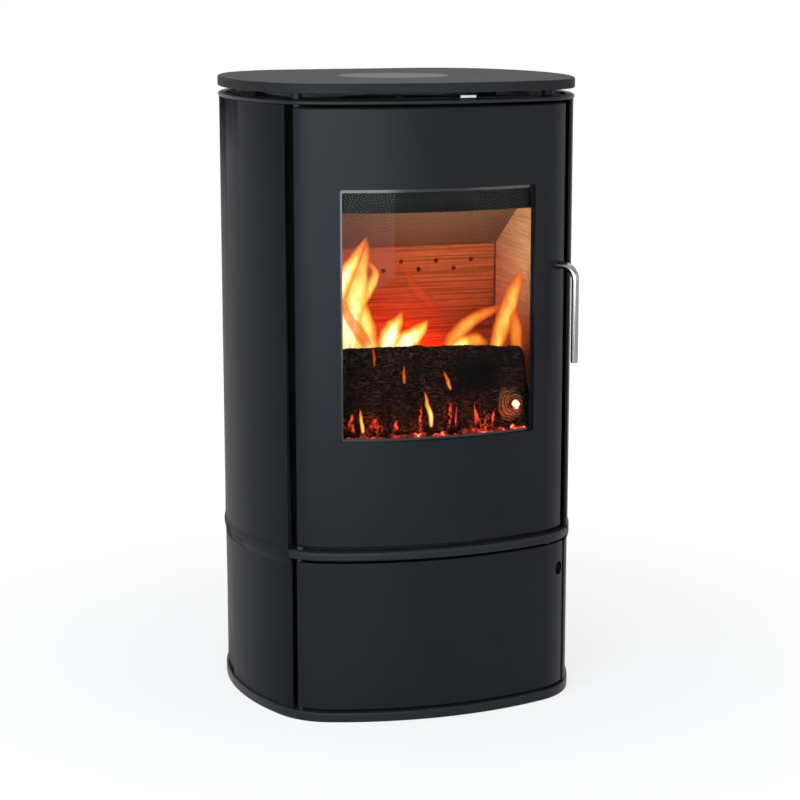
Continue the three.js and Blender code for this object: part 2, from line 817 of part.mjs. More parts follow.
// Depth at which a storage wall ends: before the side panel closes in on it and before the rear sheet.
function storageWallEnd(x) {
  let low = 0;
  let high = rearSheet[1] - sheetThickness - storageWallRearGap;
  if (rearHalfWidth(high, panelInnerOffset) > x + storageWallSideGap) return high;
  for (let i = 0; i < 40; i += 1) {
    const middle = (low + high) / 2;
    if (rearHalfWidth(middle, panelInnerOffset) > x + storageWallSideGap) low = middle;
    else high = middle;
  }
  return low;
}

function storageWall(side) {
  const [flangeX, flangeY] = planPoint(storageFlangeInner, storageFlangeOffset);
  const path = [
    planPoint(storageFlangeOuter, storageFlangeOffset),
    planPoint((storageFlangeOuter + storageFlangeInner) / 2, storageFlangeOffset),
    [flangeX, flangeY],
    [flangeX, storageWallEnd(flangeX)],
  ];
  const points = side > 0 ? path : path.map(([x, y]) => [-x, y]).reverse();
  return foldedSheet(points, sheetThickness, basePlateHeight + seam, ledgeBottom - seam);
}

// ---------------------------------------------------------------- firebox
function fireboxPlan(inset, frontDepth) {
  const knee = [shellHalfWidth - inset, frontLine + shellKneeDepth];
  const slope = (shellHalfWidth - shellHalfWidthFront) / (shellKneeDepth - shellFrontDepth);
  const frontX = knee[0] - slope * (shellKneeDepth - frontDepth);
  const right = [
    [frontX, frontLine + frontDepth],
    knee,
    [shellHalfWidth - inset, frontLine + shellRearDepth - inset],
  ];
  return [...right, ...mirrored(right)];
}

// Folded sheet that closes the two sides and the back of the fire, with the rear flue hole.
function fireboxShell() {
  const inside = fireboxPlan(shellWall, shellFrontDepth - 20);
  const rear = frontLine + shellRearDepth;
  return cut(
    prism(fireboxPlan(0, shellFrontDepth), ledgeTop + seam, shellTop),
    prism(inside, ledgeTop - 1, shellTop + 1),
    rodAlongY(flueDiameter + 1, rear - shellWall - 5, rear + 1, 0, rearFlueLevel, 36),
  );
}

function fireboxFloor() {
  const plan = fireboxPlan(shellWall + seam, shellFrontDepth);
  return prism(plan, shellFloorTop - shellWall, shellFloorTop);
}

function fireboxRoof() {
  const hole = circle(flueDiameter + 1, 0, 0, 36);
  return prism(fireboxPlan(shellWall + seam, shellFrontDepth), shellTop - shellWall, shellTop, [hole]);
}

// Rail on the side of the folded sheet, which carries the hearth brick.
function hearthRail(side) {
  const x0 = side * (shellHalfWidth - shellWall - seam);
  const x1 = x0 - side * hearthRailWidth;
  const top = hearthBottom - seam;
  return box(
    Math.min(x0, x1),
    Math.max(x0, x1),
    frontLine + shellKneeDepth + 10,
    frontLine + shellRearDepth - shellWall - seam,
    top - hearthRailHeight,
    top,
  );
}

function frontFrame() {
  const half = frameHalfAngle;
  const wall = curvedWall(-half, half, frameBackOffset, frameOffset, frameBottom, frameTop);
  const halfWidth = frameOpeningHalfWidth;
  const opening = roundedRectangle(
    -halfWidth,
    halfWidth,
    frameOpeningBottom,
    frameOpeningTop,
    frameOpeningCorner,
  );
  return cut(wall, prismAlongY(opening, frontLine, frontLine + 120));
}

// Curved plate that turns the air down over the glass.
function airwashDeflector() {
  const front = frameBackOffset - 1;
  const lowest = ringBottom - deflectorDrop;
  const section = [
    [front, frameOpeningTop + 18],
    [front - 3, frameOpeningTop + 18],
    [front - 3, lowest + 14],
    [front + 4, lowest],
    [front + 6.5, lowest + 1],
    [front, lowest + 15],
  ];
  const reach = angleAtX(frameOpeningHalfWidth - deflectorEndGap, front);
  return sweepRound(anglesBetween(-reach, reach), () => section);
}

function baffleUnderside(depth) {
  return ringBottom - baffleRearDrop + (brickBackFace - depth) * Math.tan(baffleSlope * RAD);
}

const brickTop = shellTop - shellWall - 1;

// Side brick with a top that follows the underside of the baffle.
function sideBrick(side, plan) {
  const block = prism(side > 0 ? plan : mirrored(plan), hearthTop + seam, brickTop);
  const front = shellFrontDepth - 30;
  const rear = shellRearDepth + 10;
  const above = [
    [frontLine + front, baffleUnderside(front) - seam],
    [frontLine + rear, baffleUnderside(rear) - seam],
    [frontLine + rear, overallHeight],
    [frontLine + front, overallHeight],
  ];
  return cut(block, prismAlongX(above, -bodyWidth, bodyWidth));
}

const brickOuter = shellHalfWidth - shellWall - brickJoint;
const brickJointDepth = shellKneeDepth + 2;

function rearSideBrick(side) {
  const y0 = frontLine + brickJointDepth;
  const y1 = frontLine + brickBackFace - brickJoint;
  return sideBrick(side, rectangle(brickFace, brickOuter, y0, y1));
}

// Brick along the tapered front of the folded sheet, thinned where it ends behind the frame.
function frontSideBrick(side) {
  const knee = brickJointDepth - brickJoint;
  const slope = shellTaper / (shellKneeDepth - shellFrontDepth);
  const outerX = (depth) => shellHalfWidth - shellWall - brickTaperGap - slope * (shellKneeDepth - depth);
  const [front, back] = [shellFrontDepth + 3.5, shellKneeDepth - 2];
  const plan = [
    [brickFace, frontLine + knee],
    [fireHalfWidth, frontLine + shellFrontDepth - 3.5],
    [outerX(front), frontLine + front],
    [outerX(back), frontLine + back],
    [outerX(back), frontLine + knee],
  ];
  return sideBrick(side, plan);
}

function backBrick() {
  const slab = prismAlongY(
    rectangle(-brickOuter, brickOuter, hearthTop + seam, brickTop),
    frontLine + brickBackFace,
    frontLine + brickBackFace + brickThickness,
  );
  const low = hearthTop + brickHoleRise;
  const holes = [];
  for (let i = -2.5; i <= 2.5; i += 1) holes.push([i * brickHolePitch, low + brickHoleStagger]);
  for (let i = -2; i <= 2; i += 1) holes.push([i * brickHolePitch, low]);
  const y0 = frontLine + brickBackFace - 5;
  const reach = y0 + brickThickness + 10;
  const cutters = holes.map(([x, z]) => rodAlongY(brickHoleDiameter, y0, reach, x, z, 8));
  const flue = rodAlongY(flueDiameter + 4, y0, reach, 0, rearFlueLevel, 32);
  return cut(slab, ...cutters, flue);
}

const grateCentre = frontLine + brickBackFace - grateRearGap - grateDepth / 2;

function hearthBrick() {
  const plan = fireboxPlan(shellWall + brickJoint, shellFrontDepth + 3);
  const slab = prism(plan, hearthBottom, hearthTop);
  const middle = grateCentre;
  const around = (gap) => {
    const [halfWidth, halfDepth] = [grateWidth / 2 + gap, grateDepth / 2 + gap];
    return rectangle(-halfWidth, halfWidth, middle - halfDepth, middle + halfDepth);
  };
  return cut(
    slab,
    prism(around(0.5), hearthTop - grateThickness - seam, hearthTop + 1),
    prism(around(-grateRim), hearthBottom - 1, hearthTop + 1),
  );
}

function fireGrate() {
  const y0 = grateCentre - grateDepth / 2;
  const pitch = (grateWidth - 30) / grateSlots;
  const slots = Array.from({ length: grateSlots }, (_, i) => {
    const x = (i - (grateSlots - 1) / 2) * pitch;
    const half = grateSlotWidth / 2;
    const [front, rear] = [y0 + 2 * grateRim, y0 + grateDepth - 2 * grateRim];
    return roundedRectangle(x - half, x + half, front, rear, half - 0.1, 2);
  });
  return prism(
    rectangle(-grateWidth / 2, grateWidth / 2, y0, y0 + grateDepth),
    hearthTop - grateThickness,
    hearthTop,
    slots,
  );
}

function ashPan() {
  const y0 = frontLine + shellRearDepth - shellWall - ashPanRearGap - ashPanDepth;
  const z0 = shellFloorTop + seam;
  const ashPanHeight = hearthBottom - ashPanTopGap - z0 - seam;
  const half = ashPanWidth / 2;
  const tray = cut(
    box(-half, half, y0, y0 + ashPanDepth, z0, z0 + ashPanHeight),
    box(
      -half + ashPanWall,
      half - ashPanWall,
      y0 + ashPanWall,
      y0 + ashPanDepth - ashPanWall,
      z0 + ashPanWall,
      z0 + ashPanHeight + 1,
    ),
  );
  const top = z0 + ashPanHeight;
  const lip = box(-half - ashPanLip, -half + 0.5, y0, y0 + ashPanDepth, top - 2, top);
  const otherLip = box(half - 0.5, half + ashPanLip, y0, y0 + ashPanDepth, top - 2, top);
  const grip = cut(
    box(-ashGripWidth / 2, ashGripWidth / 2, y0 - ashGripDepth, y0 + 0.5, top - 28, top - 24),
    box(-ashGripWidth / 2 + 8, ashGripWidth / 2 - 8, y0 - ashGripDepth + 6, y0 - 1, top - 29, top - 23),
  );
  return join(tray, lip, otherLip, grip);
}

function bafflePlate() {
  const thick = baffleThickness / Math.cos(baffleSlope * RAD);
  const rear = brickBackFace - brickJoint;
  const side = [
    [frontLine + rear, baffleUnderside(rear)],
    [frontLine + rear, baffleUnderside(rear) + thick],
    [frontLine + baffleFrontDepth, baffleUnderside(baffleFrontDepth) + thick],
    [frontLine + baffleFrontDepth, baffleUnderside(baffleFrontDepth)],
  ];
  const plan = fireboxPlan(shellWall + 1, shellFrontDepth);
  return overlapOf(prismAlongX(side, -bodyWidth, bodyWidth), prism(plan, hearthTop, brickTop));
}

// ---------------------------------------------------------------- fire
// Heap of embers: a low mound that fills the hearth, with a shallow trough where the log lies.
function emberBed() {
  const columns = 12;
  const rows = 7;
  const half = fireHalfWidth - emberSideGap;
  const y0 = frontLine + emberFrontDepth;
  const y1 = frontLine + brickBackFace - emberRearGap;
  const height = (u, v) => {
    const edge = Math.min(1, 5 * Math.min(u, 1 - u), 4 * Math.min(v, 1 - v));
    const rough = 0.5 + 0.5 * Math.sin(u * 23 + v * 9) * Math.cos(v * 17 - u * 6);
    const heap = 3 + edge * emberHeight * (0.55 + 0.45 * rough);
    const fromLog = THREE.MathUtils.lerp(y0, y1, v) - frontLine - logCentreDepth;
    const clear = logRadius * 1.12;
    const under = Math.max(0, clear ** logSquareness - Math.abs(fromLog) ** logSquareness);
    const trough = emberUnderLog + clear - under ** (1 / logSquareness);
    return Math.min(heap, trough);
  };
  const points = [];
  for (const layer of [0, 1]) {
    for (let r = 0; r <= rows; r += 1) {
      for (let c = 0; c <= columns; c += 1) {
        const u = c / columns;
        const v = r / rows;
        const z = hearthTop + seam + (layer ? height(u, v) : 0);
        points.push([THREE.MathUtils.lerp(-half, half, u), THREE.MathUtils.lerp(y0, y1, v), z]);
      }
    }
  }
  const stride = columns + 1;
  const top = stride * (rows + 1);
  const faces = [];
  for (let r = 0; r < rows; r += 1) {
    for (let c = 0; c < columns; c += 1) {
      const a = r * stride + c;
      const b = top + a;
      faces.push([a, a + stride, a + stride + 1], [a, a + stride + 1, a + 1]);
      faces.push([b, b + 1, b + stride + 1], [b, b + stride + 1, b + stride]);
    }
  }
  const rim = [];
  for (let c = 0; c < columns; c += 1) rim.push(c);
  for (let r = 0; r < rows; r += 1) rim.push(r * stride + columns);
  for (let c = columns; c > 0; c -= 1) rim.push(rows * stride + c);
  for (let r = rows; r > 0; r -= 1) rim.push(r * stride);
  rim.forEach((a, i) => {
    const b = rim[(i + 1) % rim.length];
    faces.push([a, b, top + b], [a, top + b, top + a]);
  });
  return bodyFrom(points, faces);
}

// Log with a squarish section, slightly bowed, with its ends broken down a little.
function fireLog() {
  const length = 2 * (fireHalfWidth - logEndGap);
  const ends = [0, 0.012];
  const stations = [...ends, ...[1, 2, 3, 4, 5, 6].map((i) => i / 7), ...ends.map((t) => 1 - t).reverse()];
  const rings = stations.map((t) => {
    const end = t === 0 || t === 1 ? 0.95 : 1;
    const bow = 5 * Math.sin(Math.PI * t);
    return Array.from({ length: logSides }, (_, j) => {
      const a = (2 * Math.PI * j) / logSides;
      const [c, d] = [Math.abs(Math.cos(a)) ** logSquareness, Math.abs(Math.sin(a)) ** logSquareness];
      const lump = 1 + 0.014 * Math.sin(3 * a + 4 * t) + 0.01 * Math.cos(5 * a - 7 * t);
      const r = (logRadius * end * lump) / (c + d) ** (1 / logSquareness);
      return [(t - 0.5) * length, r * Math.cos(a) + bow, r * Math.sin(a) + bow * 0.4];
    });
  });
  return loft(rings);
}

// ---------------------------------------------------------------- flue
function rearCollar() {
  const rear = frontLine + shellRearDepth;
  const outer = flueDiameter / 2;
  const end = bodyDepth - collarEndInset - shellRearDepth;
  const start = -shellWall - 2;
  const profile = [
    [outer - flueWall, start],
    [outer, start],
    [outer, seam],
    [outer + collarFlange, seam],
    [outer + collarFlange, seam + collarFlangeHeight],
    [outer, seam + collarFlangeHeight],
    [outer, end],
    [outer - flueWall, end],
    [outer - flueWall, start],
  ];
  return new THREE.LatheGeometry(
    profile.map(([r, y]) => new THREE.Vector2(r, y)),
    30,
  ).translate(0, rear, rearFlueLevel);
}

function heatShield() {
  const rear = frontLine + bodyDepth - shieldInset + sheetThickness;
  const half = rearHalfWidth(rear, panelInnerOffset) - shieldSideGap;
  return prismAlongY(
    rectangle(-half, half, ledgeTop + 40, ringBottom - 1),
    rear - sheetThickness,
    rear,
    [circle(flueDiameter + 2 * shieldFlueGap, 0, rearFlueLevel, 32)],
  );
}

// ---------------------------------------------------------------- upper door
function windowShape(margin, corner) {
  return roundedRectangle(
    -windowHalfWidth - margin,
    windowHalfWidth + margin,
    windowBottom - margin,
    windowTop + margin,
    corner,
    4,
  );
}

function hingeBlock(angle, offset, depth, z0, z1) {
  return curvedWall(-angle - 3, -angle + 5, offset - depth, offset + 4, z0, z1);
}

function doorCasting() {
  const angles = [
    -doorHalfAngle,
    -doorHalfAngle + 0.6,
    ...anglesBetween(-doorHalfAngle + 2, doorHalfAngle - 2),
    doorHalfAngle - 0.6,
    doorHalfAngle,
  ];
  const skin = sweepRound(angles, (a, i, count) => {
    const step = Math.min(i, count - 1 - i);
    const fall = step === 0 ? 2.6 : step === 1 ? 0.8 : 0;
    const levels = edgedLevels(doorFaceOffset - fall, doorBottom, doorTop, doorEdge - fall);
    return [[doorInnerOffset, doorBottom], ...levels, [doorInnerOffset, doorTop]];
  });
  const root = doorInnerOffset + 1;
  const half = doorHalfAngle;
  const flange = (from, to, z0, z1) => curvedWall(from, to, doorFlangeOffset, root, z0, z1);
  const flanges = [
    flange(-half, -flangeAngle, doorBottom, doorTop),
    flange(flangeAngle, half, doorBottom, doorTop),
    flange(-half, half, doorBottom, doorBottom + doorFlangeWidth),
    flange(-half, half, doorTop - doorFlangeWidth, doorTop),
  ];
  const blockDepth = -doorFlangeOffset + hingeOffset;
  const blocks = [
    hingeBlock(hingeAngle, hingeOffset, blockDepth, doorBottom, doorBottom + hingeBlockHeight),
    hingeBlock(hingeAngle, hingeOffset, blockDepth, doorTop - hingeBlockHeight, doorTop),
  ];
  const [hx, hy] = planPoint(-hingeAngle, hingeOffset);
  const bore = hingePinDiameter + 0.7;
  return cut(
    join(skin, ...flanges, ...blocks),
    prismAlongY(windowShape(0, windowCorner), frontLine - 20, frontLine + 60),
    rodAlongZ(bore, doorBottom - 1, doorBottom + hingePinHeight + 1.5, hx, hy, 16),
    rodAlongZ(bore, doorTop - hingePinHeight - 1.5, doorTop + 1, hx, hy, 16),
    turnedTo(
      rodAlongY(handleDiameter + 2 * bushWall + 0.6, -10, 30, 0, 0, 24),
      handleAngle,
      doorFaceOffset,
      handleLevel,
    ),
  );
}

function glassPane() {
  const reach = glassEdgeAngle;
  const [low, high] = [windowBottom - glassOverlap, windowTop + glassOverlap];
  return curvedWall(-reach, reach, glassBack, glassFront, low, high);
}

function glassGasket() {
  const reach = angleAtX(windowHalfWidth + glassOverlap - 1, glassFront);
  const outer = doorInnerOffset - seam;
  const band = curvedWall(
    -reach,
    reach,
    outer - glassGasketThickness,
    outer,
    windowBottom - glassOverlap + 1,
    windowTop + glassOverlap - 1,
  );
  const inset = glassOverlap - 1 - glassGasketWidth;
  return cut(band, prismAlongY(windowShape(inset, windowCorner), frontLine - 20, frontLine + 60));
}

// Strip that holds the glass edge: a foot on the door skin, a web past the glass and a lip behind it.
function sideRetainer(side) {
  const outer = doorInnerOffset - seam;
  const lipFront = glassBack - seam;
  const lipBack = lipFront - retainerThickness;
  const webOuter = angleBeside(webAngle, retainerThickness, glassFront);
  const corners = [
    [webAngle, outer],
    [footAngle, outer],
    [footAngle, outer - retainerThickness],
    [webOuter, outer - retainerThickness],
    [webOuter, lipBack],
    [glassEdgeAngle - 1, lipBack],
    [glassEdgeAngle - 1, lipFront],
    [webAngle, lipFront],
  ];
  const plan = corners.map(([angle, offset]) => planPoint(side * angle, offset));
  return prism(plan, windowBottom + retainerEndGap, windowTop - retainerEndGap);
}

// Rope seal that runs round the inside of the door, as one closed loop.
function doorGasket() {
  const half = doorGasketWidth / 2;
  const top = doorTop - doorGasketInset;
  const bottom = doorBottom + doorGasketInset;
  const reach = (doorInnerOffset - frameOffset) / 2 - seam;
  const corner = doorGasketCorner;
  const turn = doorGasketHalfAngle - angleBeside(doorGasketHalfAngle, -corner, gasketOffset);
  const path = [];
  const across = anglesBetween(-doorGasketHalfAngle + turn, doorGasketHalfAngle - turn);
  across.forEach((a) => path.push([a, bottom, 0, -1]));
  path.push([doorGasketHalfAngle - turn * 0.3, bottom + corner * 0.3, 0.7, -0.7]);
  path.push([doorGasketHalfAngle, bottom + corner, 1, 0]);
  path.push([doorGasketHalfAngle, top - corner, 1, 0]);
  path.push([doorGasketHalfAngle - turn * 0.3, top - corner * 0.3, 0.7, 0.7]);
  [...across].reverse().forEach((a) => path.push([a, top, 0, 1]));
  path.push([-doorGasketHalfAngle + turn * 0.3, top - corner * 0.3, -0.7, 0.7]);
  path.push([-doorGasketHalfAngle, top - corner, -1, 0]);
  path.push([-doorGasketHalfAngle, bottom + corner, -1, 0]);
  path.push([-doorGasketHalfAngle + turn * 0.3, bottom + corner * 0.3, -0.7, -0.7]);
  const rings = path.map(([angle, z, outX, outZ]) =>
    Array.from({ length: 8 }, (_, j) => {
      const a = (2 * Math.PI * (j + 0.5)) / 8;
      const side = half * Math.cos(a);
      const [x, y] = planPoint(angle, gasketOffset + reach * 1.03 * Math.sin(a));
      const cosine = Math.cos(angle * RAD);
      const sine = Math.sin(angle * RAD);
      return [x + outX * side * cosine, y + outX * side * sine, z + outZ * side];
    }),
  );
  return loft(rings, true);
}

function handleBush() {
  const bore = handleDiameter / 2 + 0.35;
  const sleeve = handleDiameter / 2 + bushWall;
  const profile = [
    [bore, -1.3],
    [bushFlange / 2 - 0.5, -1.3],
    [bushFlange / 2, -0.8],
    [bushFlange / 2, -seam],
    [sleeve, -seam],
    [sleeve, doorSkin + 1],
    [bore, doorSkin + 1],
    [bore, -1.3],
  ];
  return new THREE.LatheGeometry(
    profile.map(([r, y]) => new THREE.Vector2(r, y)),
    16,
  );
}

// ---------------------------------------------------------------- handle
// Centre line of the handle: out of the door, round one bend and straight down.
class HandleLine extends THREE.Curve {
  constructor(inner) {
    super();
    this.inner = inner;
    this.bends = 6;
  }

  getPoint(t, target = new THREE.Vector3()) {
    const station = t * (this.bends + 2);
    const turnY = -handleStandOff + handleBend;
    if (station <= 1) return target.set(0, THREE.MathUtils.lerp(this.inner, turnY, station), 0);
    if (station >= this.bends + 1) {
      const drop = THREE.MathUtils.lerp(handleBend, handleLength, station - this.bends - 1);
      return target.set(0, -handleStandOff, -drop);
    }
    const a = ((station - 1) / this.bends) * (Math.PI / 2);
    return target.set(0, turnY - handleBend * Math.sin(a), -handleBend * (1 - Math.cos(a)));
  }

  getPointAt(t, target) {
    return this.getPoint(t, target);
  }

  getTangentAt(t, target) {
    return this.getTangent(t, target);
  }

  getSpacedPoints(divisions) {
    return this.getPoints(divisions);
  }
}

function handleRod() {
  const section = new THREE.Shape(
    Array.from({ length: 20 }, (_, j) => {
      const a = (2 * Math.PI * j) / 20;
      return new THREE.Vector2((handleDiameter / 2) * Math.cos(a), (handleDiameter / 2) * Math.sin(a));
    }),
  );
  const line = new HandleLine(handleShaftEnd);
  const options = { steps: line.bends + 2, extrudePath: line, bevelEnabled: false };
  return new THREE.ExtrudeGeometry(section, options);
}

const tongueFront = doorSkin + tongueSpacer;
const handleShaftEnd = tongueFront + tongueThickness + shaftTip;

function latchTongue() {
  const outline = [];
  for (let i = 0; i <= 12; i += 1) {
    const a = (90 + (180 * i) / 12) * RAD;
    outline.push([(tongueWidth / 2 + 1) * Math.cos(a), (tongueWidth / 2 + 1) * Math.sin(a)]);
  }
  outline.push([tongueReach - 2, -tongueWidth / 2 + 1], [tongueReach, -tongueWidth / 2 + 3]);
  outline.push([tongueReach, tongueWidth / 2 - 3], [tongueReach - 2, tongueWidth / 2 - 1]);
  const hole = circle(handleDiameter + 0.6, 0, 0, 20);
  return prismAlongY(outline, tongueFront, tongueFront + tongueThickness, [hole]);
}

function latchNut() {
  const y0 = tongueFront + tongueThickness + 0.3;
  return prismAlongY(circle(latchNutSize, 0, 0, 6), y0, y0 + 2.2, [circle(handleDiameter + 0.6, 0, 0, 20)]);
}

function latchKeeper() {
  return curvedWall(
    keeperAngle,
    angleBeside(keeperAngle, keeperWidth, frameOffset),
    frameOffset + seam,
    doorFlangeOffset + 1.5,
    handleLevel - keeperHeight / 2,
    handleLevel + keeperHeight / 2,
  );
}

// ---------------------------------------------------------------- lower door
function lowerDoor() {
  const o = lowerDoorOffset;
  const flange = o - lowerDoorFlangeDepth;
  const section = (fall) => [
    [flange, lowerDoorBottom],
    [o - 1.2 - fall, lowerDoorBottom],
    [o - 0.35 - fall, lowerDoorBottom + 0.35],
    [o - fall, lowerDoorBottom + 1.2],
    [o - fall, lowerDoorTop - 1.2],
    [o - 0.35 - fall, lowerDoorTop - 0.35],
    [o - 1.2 - fall, lowerDoorTop],
    [flange, lowerDoorTop],
    [flange, lowerDoorTop - lowerDoorSkin],
    [lowerDoorInnerOffset, lowerDoorTop - lowerDoorSkin],
    [lowerDoorInnerOffset, lowerDoorBottom + lowerDoorSkin],
    [flange, lowerDoorBottom + lowerDoorSkin],
  ];
  const between = anglesBetween(-lowerDoorLeft + 0.7, lowerDoorRight - 0.7);
  const angles = [-lowerDoorLeft, ...between, lowerDoorRight];
  const skin = sweepRound(angles, (a, i, count) => section(i === 0 || i === count - 1 ? 0.9 : 0));
  const root = lowerDoorInnerOffset + 0.5;
  const [low, high] = [lowerDoorBottom + 0.8, lowerDoorTop - 0.8];
  const left = -lowerDoorLeft + 0.25;
  const right = lowerDoorRight - 0.25;
  const leftInner = angleBeside(left, lowerDoorSkin, lowerDoorInnerOffset);
  const rightInner = angleBeside(right, -lowerDoorSkin, lowerDoorInnerOffset);
  const pieces = [
    curvedWall(left, leftInner, flange + 0.4, root, low, high),
    curvedWall(rightInner, right, flange + 0.4, root, low, high),
    curvedWall(left + 0.2, left + 5, flange + 0.8, root - 0.2, low + 0.5, low + 8),
    curvedWall(left + 0.2, left + 5, flange + 0.8, root - 0.2, high - 8, high - 0.5),
  ];
  const [hx, hy] = planPoint(-lowerHingeAngle, lowerHingeOffset);
  const bore = lowerHingePinDiameter + 0.7;
  const boreDepth = lowerHingePinReach + 1;
  return cut(
    join(skin, ...pieces),
    rodAlongZ(bore, lowerDoorBottom - 1, lowerDoorBottom + boreDepth, hx, hy, 14),
    rodAlongZ(bore, lowerDoorTop - boreDepth, lowerDoorTop + 1, hx, hy, 14),
    turnedTo(rodAlongY(fingerHoleDiameter, -12, 12, 0, 0, 28), fingerHoleAngle, o, fingerHoleLevel),
  );
}

// Hinge pin that stands up from a collar, with a small chamfer at its tip.
function hingePin(pin, collar, collarHeight, height) {
  const profile = [
    [0, 0],
    [collar / 2, 0],
    [collar / 2, collarHeight],
    [pin / 2, collarHeight],
    [pin / 2, height - 0.6],
    [pin / 2 - 0.6, height],
    [0, height],
  ];
  return new THREE.LatheGeometry(
    profile.map(([r, z]) => new THREE.Vector2(r, z)),
    16,
  ).rotateX(Math.PI / 2);
}

// The two pins of one door: the lower stands on z0 and the upper hangs from z1.
function placeHinge(prefix, group, size, z0, z1) {
  const low = hingePin(size.pin, size.collar, size.gapBelow - 2 * seam, size.gapBelow - seam + size.reach);
  const high = hingePin(size.pin, size.collar, size.gapAbove - 2 * seam, size.gapAbove - seam + size.reach);
  place(`${prefix}_bottom`, low.translate(0, 0, z0 + seam), bareSteel, group);
  place(`${prefix}_top`, high.rotateX(Math.PI).translate(0, 0, z1 - seam), bareSteel, group);
}

function catchMagnet() {
  const [flangeX, flangeY] = planPoint(storageFlangeInner, storageFlangeOffset);
  const x = flangeX - sheetThickness - magnetDiameter / 2 - 0.5;
  const y = flangeY + magnetDiameter / 2 + 2;
  return rodAlongZ(magnetDiameter, lowerDoorTop - 14, ledgeBottom - seam, x, y, 20);
}

// ---------------------------------------------------------------- air control
function airSlide() {
  const y0 = frontLine + slideFrontDepth;
  const y1 = y0 + slideDepth;
  const width = slideSlotWidth;
  const slotEnd = y1 - slideSlotInset;
  const slots = [-1, 1].map((side) => {
    const screw = (side * slideScrewSpacing) / 2;
    const x0 = screw - slideTravelRight - width / 2;
    const x1 = x0 + slideTravel + width;
    return roundedRectangle(x0, x1, slotEnd - width, slotEnd, width / 2 - 0.01, 3);
  });
  const airHoles = slideRow.map((x) => airHole(x + slideHoleOffset));
  const left = slideShift - slideWidth / 2;
  const right = slideShift + slideWidth / 2;
  const tabFront = frontLine + tabFrontDepth;
  const outline = [
    [left, y0],
    [tabCentre - tabWidth / 2, y0],
    [tabCentre - tabWidth / 2, tabFront + 2],
    [tabCentre - tabWidth / 2 + 2, tabFront],
    [tabCentre + tabWidth / 2 - 2, tabFront],
    [tabCentre + tabWidth / 2, tabFront + 2],
    [tabCentre + tabWidth / 2, y0],
    [right, y0],
    [right, y1],
    [left, y1],
  ];
  return prism(outline, ringTop + seam, ringTop + seam + slideThickness, [...slots, ...airHoles]);
}

function slideScrew(side) {
  const y = frontLine + slideFrontDepth + slideDepth - slideSlotInset - slideSlotWidth / 2;
  const shank = slideSlotWidth / 2 - 0.4;
  const profile = [
    [0, ringTop + seam],
    [shank, ringTop + seam],
    [shank, ringTop + slideThickness + 2 * seam],
    [4.6, ringTop + slideThickness + 2 * seam],
    [4.6, ringTop + slideThickness + 2.2],
    [3.8, ringTop + slideThickness + 3],
    [0, ringTop + slideThickness + 3],
  ];
  return new THREE.LatheGeometry(
    profile.map(([r, z]) => new THREE.Vector2(r, z)),
    16,
  )
    .rotateX(Math.PI / 2)
    .translate((side * slideScrewSpacing) / 2, y, 0);
}

// ---------------------------------------------------------------- assembly: fixed body
place('base_plate', basePlate(), bodyPaint);
place('side_panel_left', sidePanel(-1), bodyPaint);
place('side_panel_right', sidePanel(1), bodyPaint);
place('rear_panel', rearPanel(), darkPaint);
place('storage_wall_left', storageWall(-1), darkPaint);
place('storage_wall_right', storageWall(1), darkPaint);
place('mid_deck', midDeck(), bodyPaint);
place('top_ring', topRing(), bodyPaint);
place('top_plate', topPlate(), topPaint);
place('firebox_shell', fireboxShell(), darkPaint);
place('firebox_floor', fireboxFloor(), darkPaint);
place('firebox_roof', fireboxRoof(), darkPaint);
place('hearth_rail_left', hearthRail(-1), darkPaint);
place('hearth_rail_right', hearthRail(1), darkPaint);
place('front_frame', frontFrame(), castIron);
place('heat_shield', heatShield(), bareSteel);
place('flue_blank', rodAlongZ(flueDiameter + 20, shellTop + seam, shellTop + 4, 0, 0, 36), castIron);
place('rear_flue_collar', rearCollar(), castIron);
place('airwash_deflector', airwashDeflector(), castIron);
place('brick_back', backBrick(), plainBrick);
place('brick_left', rearSideBrick(-1), plainBrick);
place('brick_right', rearSideBrick(1), plainBrick);
place('brick_left_front', frontSideBrick(-1), plainBrick);
place('brick_right_front', frontSideBrick(1), plainBrick);
place('hearth_brick', hearthBrick(), plainBrick);
place('grate', fireGrate(), castIron);
place('ash_pan', ashPan(), bareSteel);
place('baffle_plate', bafflePlate(), plainBrick);
place('ember_bed', emberBed(), embers);
place('latch_keeper', latchKeeper(), bareSteel);
place('catch_magnet', catchMagnet(), bareSteel);
place('slide_screw_left', slideScrew(-1), bareSteel);
place('slide_screw_right', slideScrew(1), bareSteel);

const log = place('log', fireLog(), charredWood);
log.position.set(logSideShift, frontLine + logCentreDepth, logLevel);

const upperHinge = new THREE.Group();
upperHinge.position.set(...planPoint(-hingeAngle, hingeOffset), 0);
stove.add(upperHinge);
placeHinge(
  'hinge_pin',
  upperHinge,
  {
    pin: hingePinDiameter,
    collar: hingePinDiameter + 6,
    gapBelow: doorGapBelow,
    gapAbove: doorGapAbove,
    reach: hingePinHeight,
  },
  ledgeTop,
  ringBottom,
);

const lowerHinge = new THREE.Group();
lowerHinge.position.set(...planPoint(-lowerHingeAngle, lowerHingeOffset), 0);
stove.add(lowerHinge);
placeHinge(
  'lower_hinge_pin',
  lowerHinge,
  {
    pin: lowerHingePinDiameter,
    collar: lowerHingeCollar,
    gapBelow: lowerDoorGapBelow,
    gapAbove: lowerDoorGapAbove,
    reach: lowerHingePinReach,
  },
  basePlateHeight,
  ledgeBottom,
);

// ---------------------------------------------------------------- assembly: moving pieces
place('door_casting', doorCasting(), bodyPaint);
place('door_glass', glassPane(), darkGlass);
place('glass_gasket', glassGasket(), ropeFibre);
place('glass_retainer_left', sideRetainer(-1), bareSteel);
place('glass_retainer_right', sideRetainer(1), bareSteel);
place('door_gasket', doorGasket(), ropeFibre);

